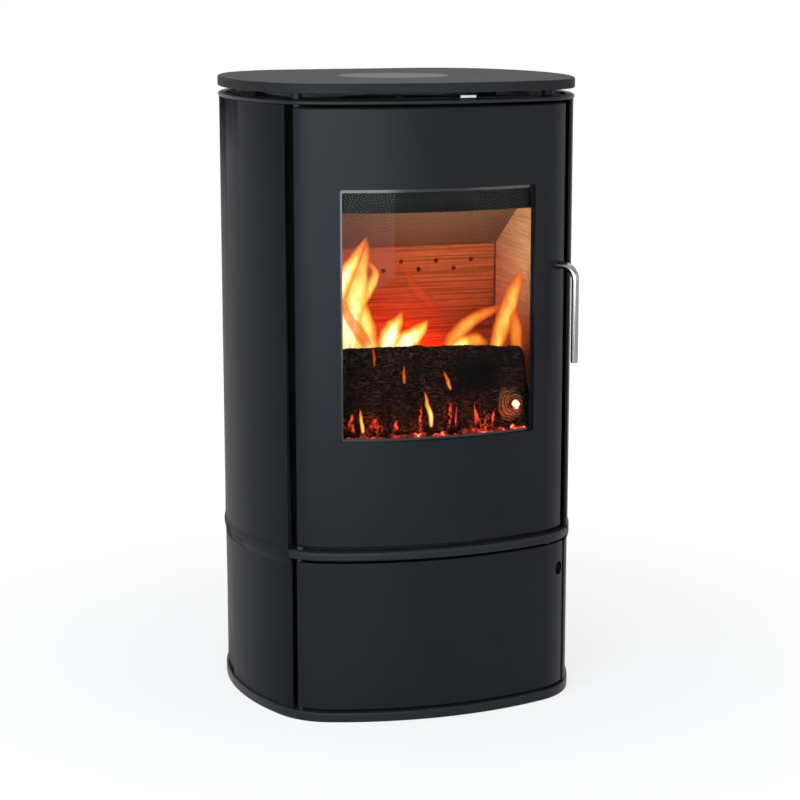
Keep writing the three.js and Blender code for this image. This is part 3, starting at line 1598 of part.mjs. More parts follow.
const handleGroup = new THREE.Group();
handleGroup.position.set(...planPoint(handleAngle, doorFaceOffset), handleLevel);
handleGroup.rotation.z = handleAngle * RAD;
stove.add(handleGroup);
place('handle_bush', handleBush(), darkPaint, handleGroup);
place('handle', handleRod(), stainless, handleGroup);
place('latch_tongue', latchTongue(), bareSteel, handleGroup);
place('latch_nut', latchNut(), bareSteel, handleGroup);

place('lower_door', lowerDoor(), bodyPaint);
place('air_slide', airSlide(), bareSteel);
place(
  'air_knob',
  rodAlongZ(
    knobDiameter,
    ringTop + slideThickness + 2 * seam,
    ringTop + slideThickness + 4.2,
    tabCentre + 3,
    frontLine + tabFrontDepth + 5,
    20,
  ),
  stainless,
);
place(
  'flue_cover',
  rodAlongZ(flueCoverDiameter, overallHeight - flueCoverHeight, overallHeight, 0, 0, 48),
  topPaint,
);

export default stove;
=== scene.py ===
import math

import bmesh
import bpy
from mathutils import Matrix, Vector, noise


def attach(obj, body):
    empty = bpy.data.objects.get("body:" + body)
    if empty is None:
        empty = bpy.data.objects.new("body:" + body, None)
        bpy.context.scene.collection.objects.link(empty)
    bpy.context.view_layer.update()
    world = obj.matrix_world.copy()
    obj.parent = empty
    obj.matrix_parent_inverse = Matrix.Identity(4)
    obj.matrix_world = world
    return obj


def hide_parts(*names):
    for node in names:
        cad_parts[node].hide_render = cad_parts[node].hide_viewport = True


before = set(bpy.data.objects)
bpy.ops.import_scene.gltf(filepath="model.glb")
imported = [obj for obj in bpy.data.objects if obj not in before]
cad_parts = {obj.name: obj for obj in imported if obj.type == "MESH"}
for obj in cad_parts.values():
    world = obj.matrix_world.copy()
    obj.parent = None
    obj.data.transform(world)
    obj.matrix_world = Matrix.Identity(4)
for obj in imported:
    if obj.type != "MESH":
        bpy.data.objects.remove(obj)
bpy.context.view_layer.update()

RAD = math.pi / 180
WELD = 1e-6

# ------------------------------------------------------------------ sizes (metres, degrees)
WIDTH, DEPTH, HEIGHT = 0.5536, 0.5153, 1.0
FRONT_LINE = -DEPTH / 2
ARC_ENDS = (19.02, 65.38, 115.07, 180.0)
CORNER, REAR_CORNER = 0.1057, 0.151
LEDGE_TOP, LEDGE_BOTTOM = 0.276, 0.262
RING_BOTTOM, RING_TOP = 0.968, 0.9738
TOP_BOTTOM = 0.9845
DOOR_BOTTOM, DOOR_TOP = 0.281, 0.9638
WINDOW = (0.15839, 0.449, 0.840)
DOOR_HALF = 50
PANEL_LOWER, PANEL_UPPER, PANEL_REAR = 53, 56.5, 150


def outline_radii():
    sines = [math.sin(a * RAD) for a in ARC_ENDS]
    cosines = [math.cos(a * RAD) for a in ARC_ENDS]
    width = WIDTH / 2 - CORNER * (sines[1] - sines[0])
    depth = DEPTH - CORNER * (cosines[0] - cosines[1]) - REAR_CORNER * (cosines[2] + 1)
    a, b, c, d = sines[0], 1 - sines[1], 1 - cosines[0], cosines[1] - cosines[2]
    determinant = a * d - b * c
    return (width * d - b * depth) / determinant, (a * depth - c * width) / determinant


FRONT_RADIUS, SIDE_RADIUS = outline_radii()
BRICK_REAR = FRONT_LINE + 0.3186
BAFFLE_REAR, BAFFLE_SLOPE = 0.715, 33.7 * RAD
ARCS = tuple(zip((FRONT_RADIUS, CORNER, SIDE_RADIUS, REAR_CORNER), ARC_ENDS))


def plan_point(angle, offset):
    """Outline point whose normal stands at angle degrees from the front, pushed out by offset."""
    side = -1 if angle < 0 else 1
    target = abs(angle)
    x, y, start = 0.0, FRONT_LINE - offset, 0.0
    for radius, end in ARCS:
        stop = min(target, end)
        x += (radius + offset) * (math.sin(stop * RAD) - math.sin(start * RAD))
        y += (radius + offset) * (math.cos(start * RAD) - math.cos(stop * RAD))
        start = stop
        if target <= end:
            break
    return side * x, y


def spread(start, stop, step):
    count = max(1, math.ceil((stop - start) / step))
    return [start + (stop - start) * i / count for i in range(count + 1)]


# ------------------------------------------------------------------ mesh helpers
def placed(name, data):
    made = bpy.data.objects.new(name, data)
    bpy.context.scene.collection.objects.link(made)
    return made


def plain_mesh(name, points, faces):
    mesh = bpy.data.meshes.new(name)
    mesh.from_pydata([tuple(p) for p in points], [], [tuple(f) for f in faces])
    return mesh


def face_outwards(mesh, weld=None):
    work = bmesh.new()
    work.from_mesh(mesh)
    if weld:
        bmesh.ops.remove_doubles(work, verts=work.verts, dist=weld)
    bmesh.ops.recalc_face_normals(work, faces=work.faces)
    work.to_mesh(mesh)
    work.free()


def circle(count):
    """Cosine and sine at count even steps round a circle."""
    return [(math.cos(2 * math.pi * j / count), math.sin(2 * math.pi * j / count)) for j in range(count)]


def mesh_object(name, points, faces, material, angle=32, weighted=True):
    mesh = plain_mesh(name, points, faces)
    mesh.validate()
    face_outwards(mesh, WELD)
    mesh.materials.append(material)
    made = placed(name, mesh)
    smooth(made, angle, weighted)
    return made


def smooth(piece, angle=32, weighted=True):
    mesh = piece.data
    mesh.polygons.foreach_set("use_smooth", [True] * len(mesh.polygons))
    mesh.set_sharp_from_angle(angle=angle * RAD)
    if weighted:
        modifier = piece.modifiers.new("weighted", "WEIGHTED_NORMAL")
        modifier.keep_sharp = True
        modifier.weight = 80
        bake_modifiers(piece)


def bake_modifiers(piece):
    graph = bpy.context.evaluated_depsgraph_get()
    done = bpy.data.meshes.new_from_object(piece.evaluated_get(graph))
    piece.modifiers.clear()
    old = piece.data
    piece.data = done
    if old.users == 0:
        bpy.data.meshes.remove(old)


def loft(rings, joined=False):
    """(points, faces) of a skin over rings of equal counts, with end faces unless joined."""
    count = len(rings[0])
    faces = []
    total = len(rings) if joined else len(rings) - 1
    for i in range(total):
        a, b = i * count, ((i + 1) % len(rings)) * count
        for j in range(count):
            k = (j + 1) % count
            faces.append((a + j, a + k, b + k, b + j))
    if not joined:
        faces.append(tuple(reversed(range(count))))
        end = (len(rings) - 1) * count
        faces.append(tuple(range(end, end + count)))
    return [p for ring in rings for p in ring], faces


def merged(*parts):
    points, faces = [], []
    for more_points, more_faces in parts:
        base = len(points)
        points += list(more_points)
        faces += [tuple(base + i for i in face) for face in more_faces]
    return points, faces


def sweep_round(angles, section):
    rings = []
    for index, angle in enumerate(angles):
        ring = []
        for item in section(angle, index in (0, len(angles) - 1)):
            turn = item[2] if len(item) > 2 else 0.0
            ring.append((*plan_point(angle + turn, item[0]), item[1]))
        rings.append(ring)
    return loft(rings)


def curved_wall(start, stop, inner, outer, z0, z1, step=1.25):
    section = [(inner, z0), (outer, z0), (outer, z1), (inner, z1)]
    return sweep_round(spread(start, stop, step), lambda angle, end: section)


def rounded_levels(offset, z0, z1, edge, steps=5):
    """Outer profile from bottom to top with rounded edges, as (offset, level)."""
    low, high = [], []
    for i in range(steps + 1):
        a = i / steps * math.pi / 2
        low.append((offset - edge + edge * math.sin(a), z0 + edge - edge * math.cos(a)))
        high.append((offset - edge + edge * math.cos(a), z1 - edge + edge * math.sin(a)))
    return low + high


WHOLE = spread(-180, 180, 1.5)


def outline_plate(levels):
    return loft([[(*plan_point(a, o), z) for a in WHOLE] for o, z in levels])


def rod(diameter, start, end, sides=48):
    start, end = Vector(start), Vector(end)
    along = (end - start).normalized()
    across = along.orthogonal().normalized()
    other = along.cross(across)
    steps = [(across * c + other * d) * diameter / 2 for c, d in circle(sides)]
    return loft([[centre + step for step in steps] for centre in (start, end)])


def box(x0, x1, y0, y1, z0, z1):
    low = [(x0, y0, z0), (x1, y0, z0), (x1, y1, z0), (x0, y1, z0)]
    high = [(x, y, z1) for x, y, _ in low]
    return loft([low, high])


def rounded_window(margin, radius, y0, y1):
    half, low, high = WINDOW[0] + margin, WINDOW[1] - margin, WINDOW[2] + margin
    ring = []
    for cx, cz, start in (
        (half - radius, low + radius, -90),
        (half - radius, high - radius, 0),
        (-half + radius, high - radius, 90),
        (-half + radius, low + radius, 180),
    ):
        for i in range(7):
            a = (start + 15 * i) * RAD
            ring.append((cx + radius * math.cos(a), cz + radius * math.sin(a)))
    return loft([[(x, y, z) for x, z in ring] for y in (y1, y0)])


def cut(name, base, tools, material, angle=32):
    """base minus each tool, all as (points, faces)."""
    target = mesh_object(name, *base, material, angle, weighted=False)
    cutters = [mesh_object("cutter", *tool, material, weighted=False) for tool in tools]
    for cutter in cutters:
        modifier = target.modifiers.new("cut", "BOOLEAN")
        modifier.operation = "DIFFERENCE"
        modifier.solver = "EXACT"
        modifier.object = cutter
    bake_modifiers(target)
    for cutter in cutters:
        mesh = cutter.data
        bpy.data.objects.remove(cutter)
        bpy.data.meshes.remove(mesh)
    return target


def fold_in(target, parts, angle=32):
    """Adds closed shells to target's mesh."""
    work = bmesh.new()
    work.from_mesh(target.data)
    for points, faces in parts:
        mesh = plain_mesh("shell", points, faces)
        face_outwards(mesh)
        work.from_mesh(mesh)
        bpy.data.meshes.remove(mesh)
    work.to_mesh(target.data)
    work.free()
    smooth(target, angle)
    return target


def settle(piece, body, slot, *nodes):
    if nodes:
        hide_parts(*nodes)
    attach(piece, body)
    return piece


# ------------------------------------------------------------------ shader helpers
def new_node(member, kind):
    """A new shader node in the tree of member, which is a node, a socket or the tree itself."""
    return member.id_data.nodes.new("ShaderNode" + kind)


def link(source, target):
    source.id_data.links.new(source, target)


def plug(source, node, name):
    link(source, node.inputs[name])


def give(value, socket):
    """Sets a socket to a number or a colour, or joins it to another socket."""
    if isinstance(value, tuple) and len(value) == 3 and socket.type == "RGBA":
        socket.default_value = (*value, 1.0)
    elif isinstance(value, (int, float, tuple)):
        socket.default_value = value
    else:
        link(value, socket)


def socket_in(*values):
    return next(value for value in values if isinstance(value, bpy.types.NodeSocket))


def math_node(operation, first, second=None, clamp=False):
    made = new_node(socket_in(first, second), "Math")
    made.operation = operation
    made.use_clamp = clamp
    give(first, made.inputs[0])
    if second is not None:
        give(second, made.inputs[1])
    return made.outputs[0]


def times(first, second, clamp=False):
    return math_node("MULTIPLY", first, second, clamp)


def plus(first, second):
    return math_node("ADD", first, second)


def minus(first, second):
    return math_node("SUBTRACT", first, second)


def split(vector):
    """Outputs X, Y and Z of a vector."""
    made = new_node(vector, "SeparateXYZ")
    link(vector, made.inputs[0])
    return made.outputs


def map_range(value, low, high, to_low=0.0, to_high=1.0, smoothly=False):
    made = new_node(value, "MapRange")
    made.interpolation_type = "SMOOTHSTEP" if smoothly else "LINEAR"
    for index, given in enumerate((value, low, high, to_low, to_high)):
        give(given, made.inputs[index])
    return made.outputs["Result"]


def mix_colour(factor, first, second, blend="MIX"):
    made = new_node(socket_in(factor, first, second), "Mix")
    made.data_type = "RGBA"
    made.blend_type = blend
    for index, given in ((0, factor), (6, first), (7, second)):
        give(given, made.inputs[index])
    return made.outputs[2]


def ramp(factor, stops):
    made = new_node(factor, "ValToRGB")
    band = made.color_ramp
    band.elements[0].position = stops[0][0]
    band.elements[1].position = stops[-1][0]
    for place, _ in stops[1:-1]:
        band.elements.new(place)
    for element, (_, colour) in zip(band.elements, stops):
        element.color = (*colour, 1.0)
    link(factor, made.inputs[0])
    return made.outputs[0]


def stretched(vector, scale):
    made = new_node(vector, "Mapping")
    made.inputs["Scale"].default_value = scale
    plug(vector, made, "Vector")
    return made.outputs[0]


def noise_node(vector, scale, detail=3.0, roughness=0.55, output="Fac"):
    made = new_node(vector, "TexNoise")
    for name, given in (("Detail", detail), ("Roughness", roughness), ("Vector", vector), ("Scale", scale)):
        give(given, made.inputs[name])
    return made.outputs[output]


def voronoi(vector, scale, feature="F1"):
    made = new_node(vector, "TexVoronoi")
    made.feature = feature
    made.inputs["Scale"].default_value = scale
    plug(vector, made, "Vector")
    return made.outputs["Distance"]


def new_group(name, inputs, outputs):
    tree = bpy.data.node_groups.new(name, "ShaderNodeTree")
    for label, kind, value in inputs:
        socket = tree.interface.new_socket(label, in_out="INPUT", socket_type=kind)
        if value is not None:
            socket.default_value = value
    for label, kind in outputs:
        tree.interface.new_socket(label, in_out="OUTPUT", socket_type=kind)
    return tree, tree.nodes.new("NodeGroupInput"), tree.nodes.new("NodeGroupOutput")


FLOAT, VECTOR, GEOMETRY = "NodeSocketFloat", "NodeSocketVector", "NodeSocketGeometry"


def make_paint_grain():
    """Fine stipple of sprayed paint: a height and a light and dark fleck mask."""
    tree, came, goes = new_group(
        "paint grain",
        [("Vector", VECTOR, None), ("Scale", FLOAT, 700.0), ("Fleck", FLOAT, 0.5)],
        [("Height", FLOAT), ("Fleck", FLOAT)],
    )
    fine = noise_node(came.outputs["Vector"], came.outputs["Scale"], 2.0, 0.6)
    coarse = noise_node(came.outputs["Vector"], times(came.outputs["Scale"], 0.23), 1.0, 0.5)
    plug(plus(times(fine, 0.7), times(coarse, 0.3)), goes, "Height")
    fleck = map_range(fine, 0.35, 0.68, -1.0, 1.0)
    plug(times(fleck, came.outputs["Fleck"]), goes, "Fleck")
    return tree


def make_clouds():
    """Broad, soft unevenness, as handling and heat leave on a surface."""
    tree, came, goes = new_group(
        "clouds",
        [("Vector", VECTOR, None), ("Scale", FLOAT, 6.0), ("Low", FLOAT, 0.35), ("High", FLOAT, 0.7)],
        [("Mask", FLOAT)],
    )
    value = noise_node(came.outputs["Vector"], came.outputs["Scale"], 4.0, 0.6)
    plug(map_range(value, came.outputs["Low"], came.outputs["High"], smoothly=True), goes, "Mask")
    return tree


def make_dust():
    """Mask of dust that settles on what faces up, broken up by noise."""
    tree, came, goes = new_group(
        "dust",
        [("Vector", VECTOR, None), ("Amount", FLOAT, 0.4), ("Scale", FLOAT, 60.0)],
        [("Mask", FLOAT)],
    )
    normal = split(new_node(came, "NewGeometry").outputs["Normal"])
    upward = map_range(normal["Z"], 0.55, 1.0, smoothly=True)
    broken = noise_node(came.outputs["Vector"], came.outputs["Scale"], 4.0, 0.65)
    patches = map_range(broken, 0.3, 0.75, 0.35, 1.0)
    amount = times(times(upward, patches), came.outputs["Amount"])
    plug(amount, goes, "Mask")
    return tree


PAINT_GRAIN, CLOUDS, DUST = make_paint_grain(), make_clouds(), make_dust()


def use(group, vector, **values):
    made = new_node(vector, "Group")
    made.node_tree = group
    plug(vector, made, "Vector")
    for key, value in values.items():
        made.inputs[key].default_value = value
    return made.outputs


def begin(name, **values):
    """A new material, its shader with its constant values, and the place on the object."""
    material = bpy.data.materials.new(name)
    material.use_nodes = True
    shader = material.node_tree.nodes["Principled BSDF"]
    for key, value in values.items():
        shader.inputs[key.replace("_", " ")].default_value = value
    return material, shader, new_node(shader, "TexCoord").outputs["Object"]


def bump(shader, height, distance, strength=1.0):
    made = new_node(height, "Bump")
    made.inputs["Strength"].default_value = strength
    made.inputs["Distance"].default_value = distance
    plug(height, made, "Height")
    plug(made.outputs["Normal"], shader, "Normal")


def painted(name, base, light, roughness, fleck=0.5, dust=0.25, grain=650.0, bump_height=0.00012, gloss=0.12):
    """Matt sprayed stove paint."""
    # Painted reflection colour: the bluish specular tint stands for bluish light in the sheen of the paint.
    material, shader, place = begin(name, Specular_IOR_Level=gloss, Specular_Tint=(0.90, 0.96, 1.09, 1.0))
    texture = use(PAINT_GRAIN, place, Scale=grain, Fleck=fleck)
    clouds = use(CLOUDS, place, Scale=5.0, Low=0.3, High=0.72)
    settled = use(DUST, place, Amount=dust, Scale=55.0)
    colour = mix_colour(clouds["Mask"], base, light)
    speck = map_range(texture["Fleck"], -1.0, 1.0, 0.72, 1.30)
    joined = new_node(shader, "CombineXYZ")
    for index in range(3):
        link(speck, joined.inputs[index])
    colour = mix_colour(1.0, colour, joined.outputs[0], "MULTIPLY")
    colour = mix_colour(settled["Mask"], colour, (0.16, 0.165, 0.175))
    plug(colour, shader, "Base Color")
    rough = map_range(texture["Fleck"], -1.0, 1.0, roughness - 0.07, roughness + 0.07)
    plug(rough, shader, "Roughness")
    bump(shader, texture["Height"], bump_height, 0.8)
    return material


def cast(name, base, light, roughness=0.75):
    """Rough cast or blackened iron."""
    material, shader, place = begin(name, Metallic=0.35)
    lumps = noise_node(place, 260.0, 4.0, 0.65)
    clouds = use(CLOUDS, place, Scale=14.0, Low=0.35, High=0.7)
    colour = mix_colour(clouds["Mask"], base, light)
    plug(colour, shader, "Base Color")
    plug(map_range(lumps, 0.3, 0.7, roughness - 0.1, roughness + 0.1), shader, "Roughness")
    bump(shader, lumps, 0.0006, 0.7)
    return material


def brushed(name, base, roughness, scale, depth=0.00003):
    """Steel with fine lines along one direction."""
    material, shader, place = begin(name, Metallic=1.0)
    lines = noise_node(stretched(place, scale), 1.0, 3.0, 0.6)
    clouds = use(CLOUDS, place, Scale=20.0, Low=0.35, High=0.7)
    dull = tuple(c * 0.82 for c in base)
    plug(mix_colour(clouds["Mask"], dull, base), shader, "Base Color")
    plug(map_range(lines, 0.25, 0.75, roughness - 0.06, roughness + 0.08), shader, "Roughness")
    bump(shader, lines, depth, 0.5)
    return material


def brick_material(name, base, line_scale=(4.0, 4.0, 330.0), line_depth=0.5):
    """Dry insulating brick with dark saw lines and pits, and painted shade along its joints."""
    material, shader, place = begin(name, Specular_IOR_Level=0.2, Roughness=0.92)
    lines = noise_node(stretched(place, line_scale), 1.0, 2.0, 0.7)
    pits = voronoi(place, 190.0)
    rough = noise_node(place, 120.0, 5.0, 0.7)
    parts = split(place)
    colour = mix_colour(map_range(rough, 0.3, 0.7), tuple(c * 0.70 for c in base), base)
    sawn = map_range(lines, 0.46, 0.60, 0.0, line_depth)
    colour = mix_colour(sawn, colour, tuple(c * 0.38 for c in base))
    # Painted shade: a dark line where the baffle meets the rear brick, and down the rear corners beside the
    # side bricks.
    slope = times(minus(BRICK_REAR, parts["Y"]), math.tan(BAFFLE_SLOPE))
    under = minus(plus(slope, BAFFLE_REAR), parts["Z"])
    joint = map_range(math_node("ABSOLUTE", under), 0.0034, 0.0, smoothly=True)
    side = math_node("ABSOLUTE", minus(math_node("ABSOLUTE", parts["X"]), 0.1985))
    behind = map_range(parts["Y"], BRICK_REAR - 0.006, BRICK_REAR - 0.003)
    corner = times(map_range(side, 0.0042, 0.0, smoothly=True), behind)
    painted_joint_shade = math_node("MAXIMUM", joint, corner)
    colour = mix_colour(times(painted_joint_shade, 0.85), colour, (0.02, 0.012, 0.010))
    plug(colour, shader, "Base Color")
    bump(shader, plus(plus(times(lines, 0.8), times(pits, 0.35)), times(rough, 0.7)), 0.0012, 0.9)
    return material


def rope_material(name):
    material, shader, place = begin(name, Roughness=0.95)
    weave = voronoi(stretched(place, (420.0, 420.0, 420.0)), 1.0)
    colour = mix_colour(map_range(weave, 0.1, 0.6), (0.20, 0.19, 0.17), (0.05, 0.05, 0.05))
    plug(colour, shader, "Base Color")
    bump(shader, weave, 0.001, 1.0)
    return material


def glass_material(name):
    material, shader, place = begin(
        name, Base_Color=(0.56, 0.57, 0.56, 1.0), Transmission_Weight=1.0, IOR=1.10, Specular_IOR_Level=0.22
    )
    smear = noise_node(stretched(place, (9.0, 9.0, 3.0)), 1.0, 3.0, 0.5)
    plug(map_range(smear, 0.45, 0.8, 0.0, 0.03), shader, "Roughness")
    return material


def glossy_black(name):
    material, shader, place = begin(name)
    specks = noise_node(place, 300.0, 2.0)
    plug(mix_colour(specks, (0.004, 0.004, 0.004), (0.012, 0.012, 0.012)), shader, "Base Color")
    plug(map_range(specks, 0.3, 0.7, 0.12, 0.22), shader, "Roughness")
    return material


def spot(place, centre, half_width, half_height, edge=0.5):
    """Soft oval mask on a front face, round a point given as (x, z)."""
    parts = split(place)
    across = math_node("DIVIDE", minus(parts["X"], centre[0]), half_width)
    upward = math_node("DIVIDE", minus(parts["Z"], centre[1]), half_height)
    reach = plus(times(across, across), times(upward, upward))
    return map_range(reach, 1.0, edge, smoothly=True)


def charred_material(name):
    """Burnt wood: black plates, a few glowing splits near the coals, and a brown knot with a hot spot."""
    material, shader, place = begin(name, Roughness=0.85, Specular_IOR_Level=0.10)
    bend = new_node(shader, "Mix")
    bend.data_type = "VECTOR"
    for index, given in ((0, 0.02), (4, place), (5, noise_node(place, 60.0, 3.0, 0.6, "Color"))):
        give(given, bend.inputs[index])
    bent = bend.outputs[1]
    cracks = voronoi(stretched(bent, (70.0, 90.0, 110.0)), 1.0, "DISTANCE_TO_EDGE")
    fine = noise_node(stretched(place, (110.0, 260.0, 330.0)), 1.0, 4.0, 0.7)
    broad = noise_node(place, 26.0, 3.0, 0.6)
    ridge = times(map_range(fine, 0.48, 0.64, smoothly=True), map_range(broad, 0.32, 0.56))
    colour = mix_colour(ridge, (0.0022, 0.0015, 0.0012), (0.125, 0.060, 0.038))
    knot = spot(bent, KNOT, 0.022, 0.031, 0.25)
    rings = new_node(shader, "TexWave")
    rings.wave_type = "RINGS"
    rings.rings_direction = "Y"
    offset = new_node(shader, "Mapping")
    offset.inputs["Location"].default_value = (-KNOT[0], 0.2, -KNOT[1])
    plug(place, offset, "Vector")
    for key, given in (("Scale", 70.0), ("Distortion", 9.0), ("Detail", 4.0), ("Vector", offset.outputs[0])):
        give(given, rings.inputs[key])
    brown = mix_colour(rings.outputs["Fac"], (0.050, 0.020, 0.008), (0.62, 0.28, 0.10))
    colour = mix_colour(knot, colour, brown)
    colour = mix_colour(spot(bent, (0.1405, 0.4880), 0.0085, 0.0110, 0.2), colour, (0.004, 0.002, 0.001))
    colour = mix_colour(spot(bent, HOLLOW, 0.042, 0.034, 0.35), colour, (0.0012, 0.0010, 0.0009))
    plug(colour, shader, "Base Color")
    low = map_range(split(bent)["Z"], 0.500, 0.440, smoothly=True)
    patches = map_range(noise_node(place, 34.0, 2.0, 0.5), 0.46, 0.62, smoothly=True)
    gap = map_range(cracks, 0.055, 0.0)
    glow = times(gap, times(low, patches))
    broken = noise_node(stretched(place, (160.0, 160.0, 70.0)), 1.0, 3.0, 0.6)
    broken = map_range(broken, 0.38, 0.56, 0.12, 1.0)
    for centre, width, height in SPLITS:
        glow = math_node("MAXIMUM", glow, times(spot(bent, centre, width, height, 0.0), broken))
    hot = spot(bent, (0.1462, 0.4865), 0.0062, 0.0085, 0.2)
    halo = times(times(spot(bent, (0.1450, 0.4860), 0.015, 0.020, 0.0), 0.16), rings.outputs["Fac"])
    heat = plus(plus(glow, halo), times(hot, 2.0))
    colours = [
        (0.0, (0.6, 0.02, 0.0)), (0.45, (1.0, 0.07, 0.015)),
        (0.75, (1.0, 0.22, 0.06)), (1.0, (1.0, 0.78, 0.45)),
    ]
    plug(ramp(times(heat, 0.6, True), colours), shader, "Emission Color")
    plug(times(heat, 2.6), shader, "Emission Strength")
    bump(shader, plus(map_range(cracks, 0.0, 0.12), times(fine, 0.8)), 0.0022, 1.0)
    return material


def ember_material(name):
    """Coals: dark crusts over red and orange glow."""
    material, shader, place = begin(name, Roughness=0.95, Specular_IOR_Level=0.2)
    broad = noise_node(place, 62.0, 3.0, 0.6)
    fine = noise_node(place, 230.0, 4.0, 0.7)
    heat = plus(times(broad, 0.65), times(fine, 0.35))
    ash = map_range(heat, 0.50, 0.40)
    plug(mix_colour(ash, (0.020, 0.008, 0.006), (0.050, 0.036, 0.030)), shader, "Base Color")
    hot = map_range(heat, 0.44, 0.66)
    colours = [
        (0.0, (0.30, 0.006, 0.002)), (0.4, (0.85, 0.035, 0.012)),
        (0.75, (1.0, 0.12, 0.05)), (1.0, (1.0, 0.45, 0.22)),
    ]
    plug(ramp(hot, colours), shader, "Emission Color")
    plug(times(hot, 3.0), shader, "Emission Strength")
    bump(shader, fine, 0.002, 0.8)
    return material


def flame_material(name):
    """Flame: near white inside, orange and thin towards the rim and the tip."""
    black = (0.0, 0.0, 0.0, 1.0)
    material, shader, place = begin(name, Base_Color=black, Roughness=1.0, Specular_IOR_Level=0.0)

    def painted_value(label):
        made = new_node(shader, "Attribute")
        made.attribute_name = label
        return made.outputs["Fac"]

    core, rise, strength = painted_value("core"), painted_value("rise"), painted_value("warmth")
    wisps = noise_node(stretched(place, (60.0, 20.0, 24.0)), 1.0, 4.0, 0.62)
    streaks = map_range(wisps, 0.32, 0.66, 0.72, 1.12)
    depth = times(math_node("POWER", core, 2.3), streaks)
    tip = map_range(rise, 1.0, 0.30, 0.45, 1.0, True)
    heat = times(times(depth, tip), strength, True)
    colours = [
        (0.0, (0.9, 0.05, 0.008)), (0.28, (1.0, 0.15, 0.015)), (0.52, (1.0, 0.40, 0.05)),
        (0.74, (1.0, 0.74, 0.16)), (0.92, (1.0, 0.96, 0.60)),
    ]
    plug(ramp(heat, colours), shader, "Emission Color")
    plug(map_range(heat, 0.0, 1.0, 1.1, 2.6), shader, "Emission Strength")
    foot = map_range(rise, 0.0, 0.10)
    alpha = times(map_range(depth, 0.08, 0.75, smoothly=True), foot)
    alpha = times(alpha, map_range(rise, 1.0, 0.75, 0.0, 1.0, True))
    alpha = times(alpha, map_range(strength, 0.0, 0.8, 0.12, 0.88))
    plug(times(alpha, 1.0, True), shader, "Alpha")
    return material


# Places on the front of the log as (x, z). Each glowing split also has its half width and half height.
KNOT = (0.139, 0.487)
HOLLOW = (0.086, 0.538)
SPLITS = (
    ((-0.118, 0.470), 0.0035, 0.018),
    ((-0.077, 0.466), 0.0030, 0.014),
    ((-0.005, 0.470), 0.0034, 0.026),
    ((0.040, 0.478), 0.0026, 0.022),
    ((0.052, 0.470), 0.0022, 0.018),
    ((0.083, 0.475), 0.0026, 0.024),
    ((0.112, 0.468), 0.0024, 0.016),
    ((-0.046, 0.462), 0.0050, 0.010),
)

body_paint = painted(
    "body paint", (0.0036, 0.0037, 0.0046), (0.0052, 0.0054, 0.0066), 0.42,
    fleck=0.7, dust=0.06, bump_height=0.00022, gloss=0.135,
)
edge_paint = painted(
    "plate paint", (0.0062, 0.0066, 0.0080), (0.0090, 0.0096, 0.0114), 0.40,
    fleck=0.8, dust=0.12, grain=520.0, bump_height=0.00022, gloss=0.19,
)
side_paint = painted(
    "side paint", (0.0034, 0.0037, 0.0049), (0.0050, 0.0054, 0.0068), 0.46, fleck=0.55, dust=0.05, gloss=0.09,
)
# The inner face of a side panel is matt, as a lamp would show in it through the gap under the top plate.
side_shader = side_paint.node_tree.nodes["Principled BSDF"]
matt_inside = new_node(side_shader, "Attribute")
matt_inside.attribute_name = "inward"
side_rough = side_shader.inputs["Roughness"].links[0].from_socket
plug(math_node("MAXIMUM", side_rough, matt_inside.outputs["Fac"]), side_shader, "Roughness")
top_paint = painted(
    "top paint", (0.0105, 0.0108, 0.0114), (0.0145, 0.0148, 0.0155), 0.66, fleck=0.6, dust=0.16,
)
cover_paint = painted(
    "flue cover paint", (0.120, 0.1205, 0.123), (0.148, 0.149, 0.152), 0.62, fleck=0.6, dust=0.16,
)
inner_paint = painted(
    "inner black paint", (0.009, 0.0095, 0.010), (0.014, 0.0145, 0.016), 0.70, fleck=0.4, dust=0.12,
)
iron = cast("blackened iron", (0.015, 0.015, 0.016), (0.032, 0.031, 0.030))
handle_steel = brushed("handle steel", (0.30, 0.30, 0.29), 0.12, (900.0, 900.0, 14.0))
knob_steel = brushed("knob steel", (0.70, 0.71, 0.72), 0.20, (900.0, 900.0, 14.0))
plain_steel = brushed("plain steel", (0.42, 0.43, 0.45), 0.38, (40.0, 900.0, 900.0))
zinc_steel = brushed("zinc steel", (0.50, 0.51, 0.53), 0.42, (120.0, 120.0, 120.0))
fire_brick = brick_material("fire brick", (0.62, 0.37, 0.22))
# Painted light: the deep red of this brick stands for the red glow of the fire falling on it.
back_brick_painted_glow = brick_material("back brick with painted glow", (0.62, 0.165, 0.060), (4.0, 4.0, 400.0), 0.85)
baffle_brick = brick_material("baffle brick", (0.74, 0.47, 0.28), (3.0, 170.0, 170.0), 0.4)
rope = rope_material("rope seal")
pane = glass_material("door glass")
border_black = glossy_black("glass border")
charred = charred_material("charred log")
coals = ember_material("glowing coals")
flame_paint = flame_material("flame")

# ------------------------------------------------------------------ rebuilt body pieces
ROOT, DOOR, HANDLE, STORE = "stove_body", "main_door", "door_handle", "storage_door"

base = mesh_object("floor_plate", *outline_plate(rounded_levels(0.0048, 0, 0.0152, 0.0022)), edge_paint)
settle(base, ROOT, "body_paint", "base_plate")


def share_between(value, low, high):
    return min(1.0, max(0.0, (value - low) / (high - low)))


def panel_front_angle(z):
    return PANEL_LOWER + share_between(z, LEDGE_BOTTOM, LEDGE_TOP + 0.002) * (PANEL_UPPER - PANEL_LOWER)


def blend_curve(z, low, high):
    t = share_between(z, low, high)
    return t * t * (3 - 2 * t)


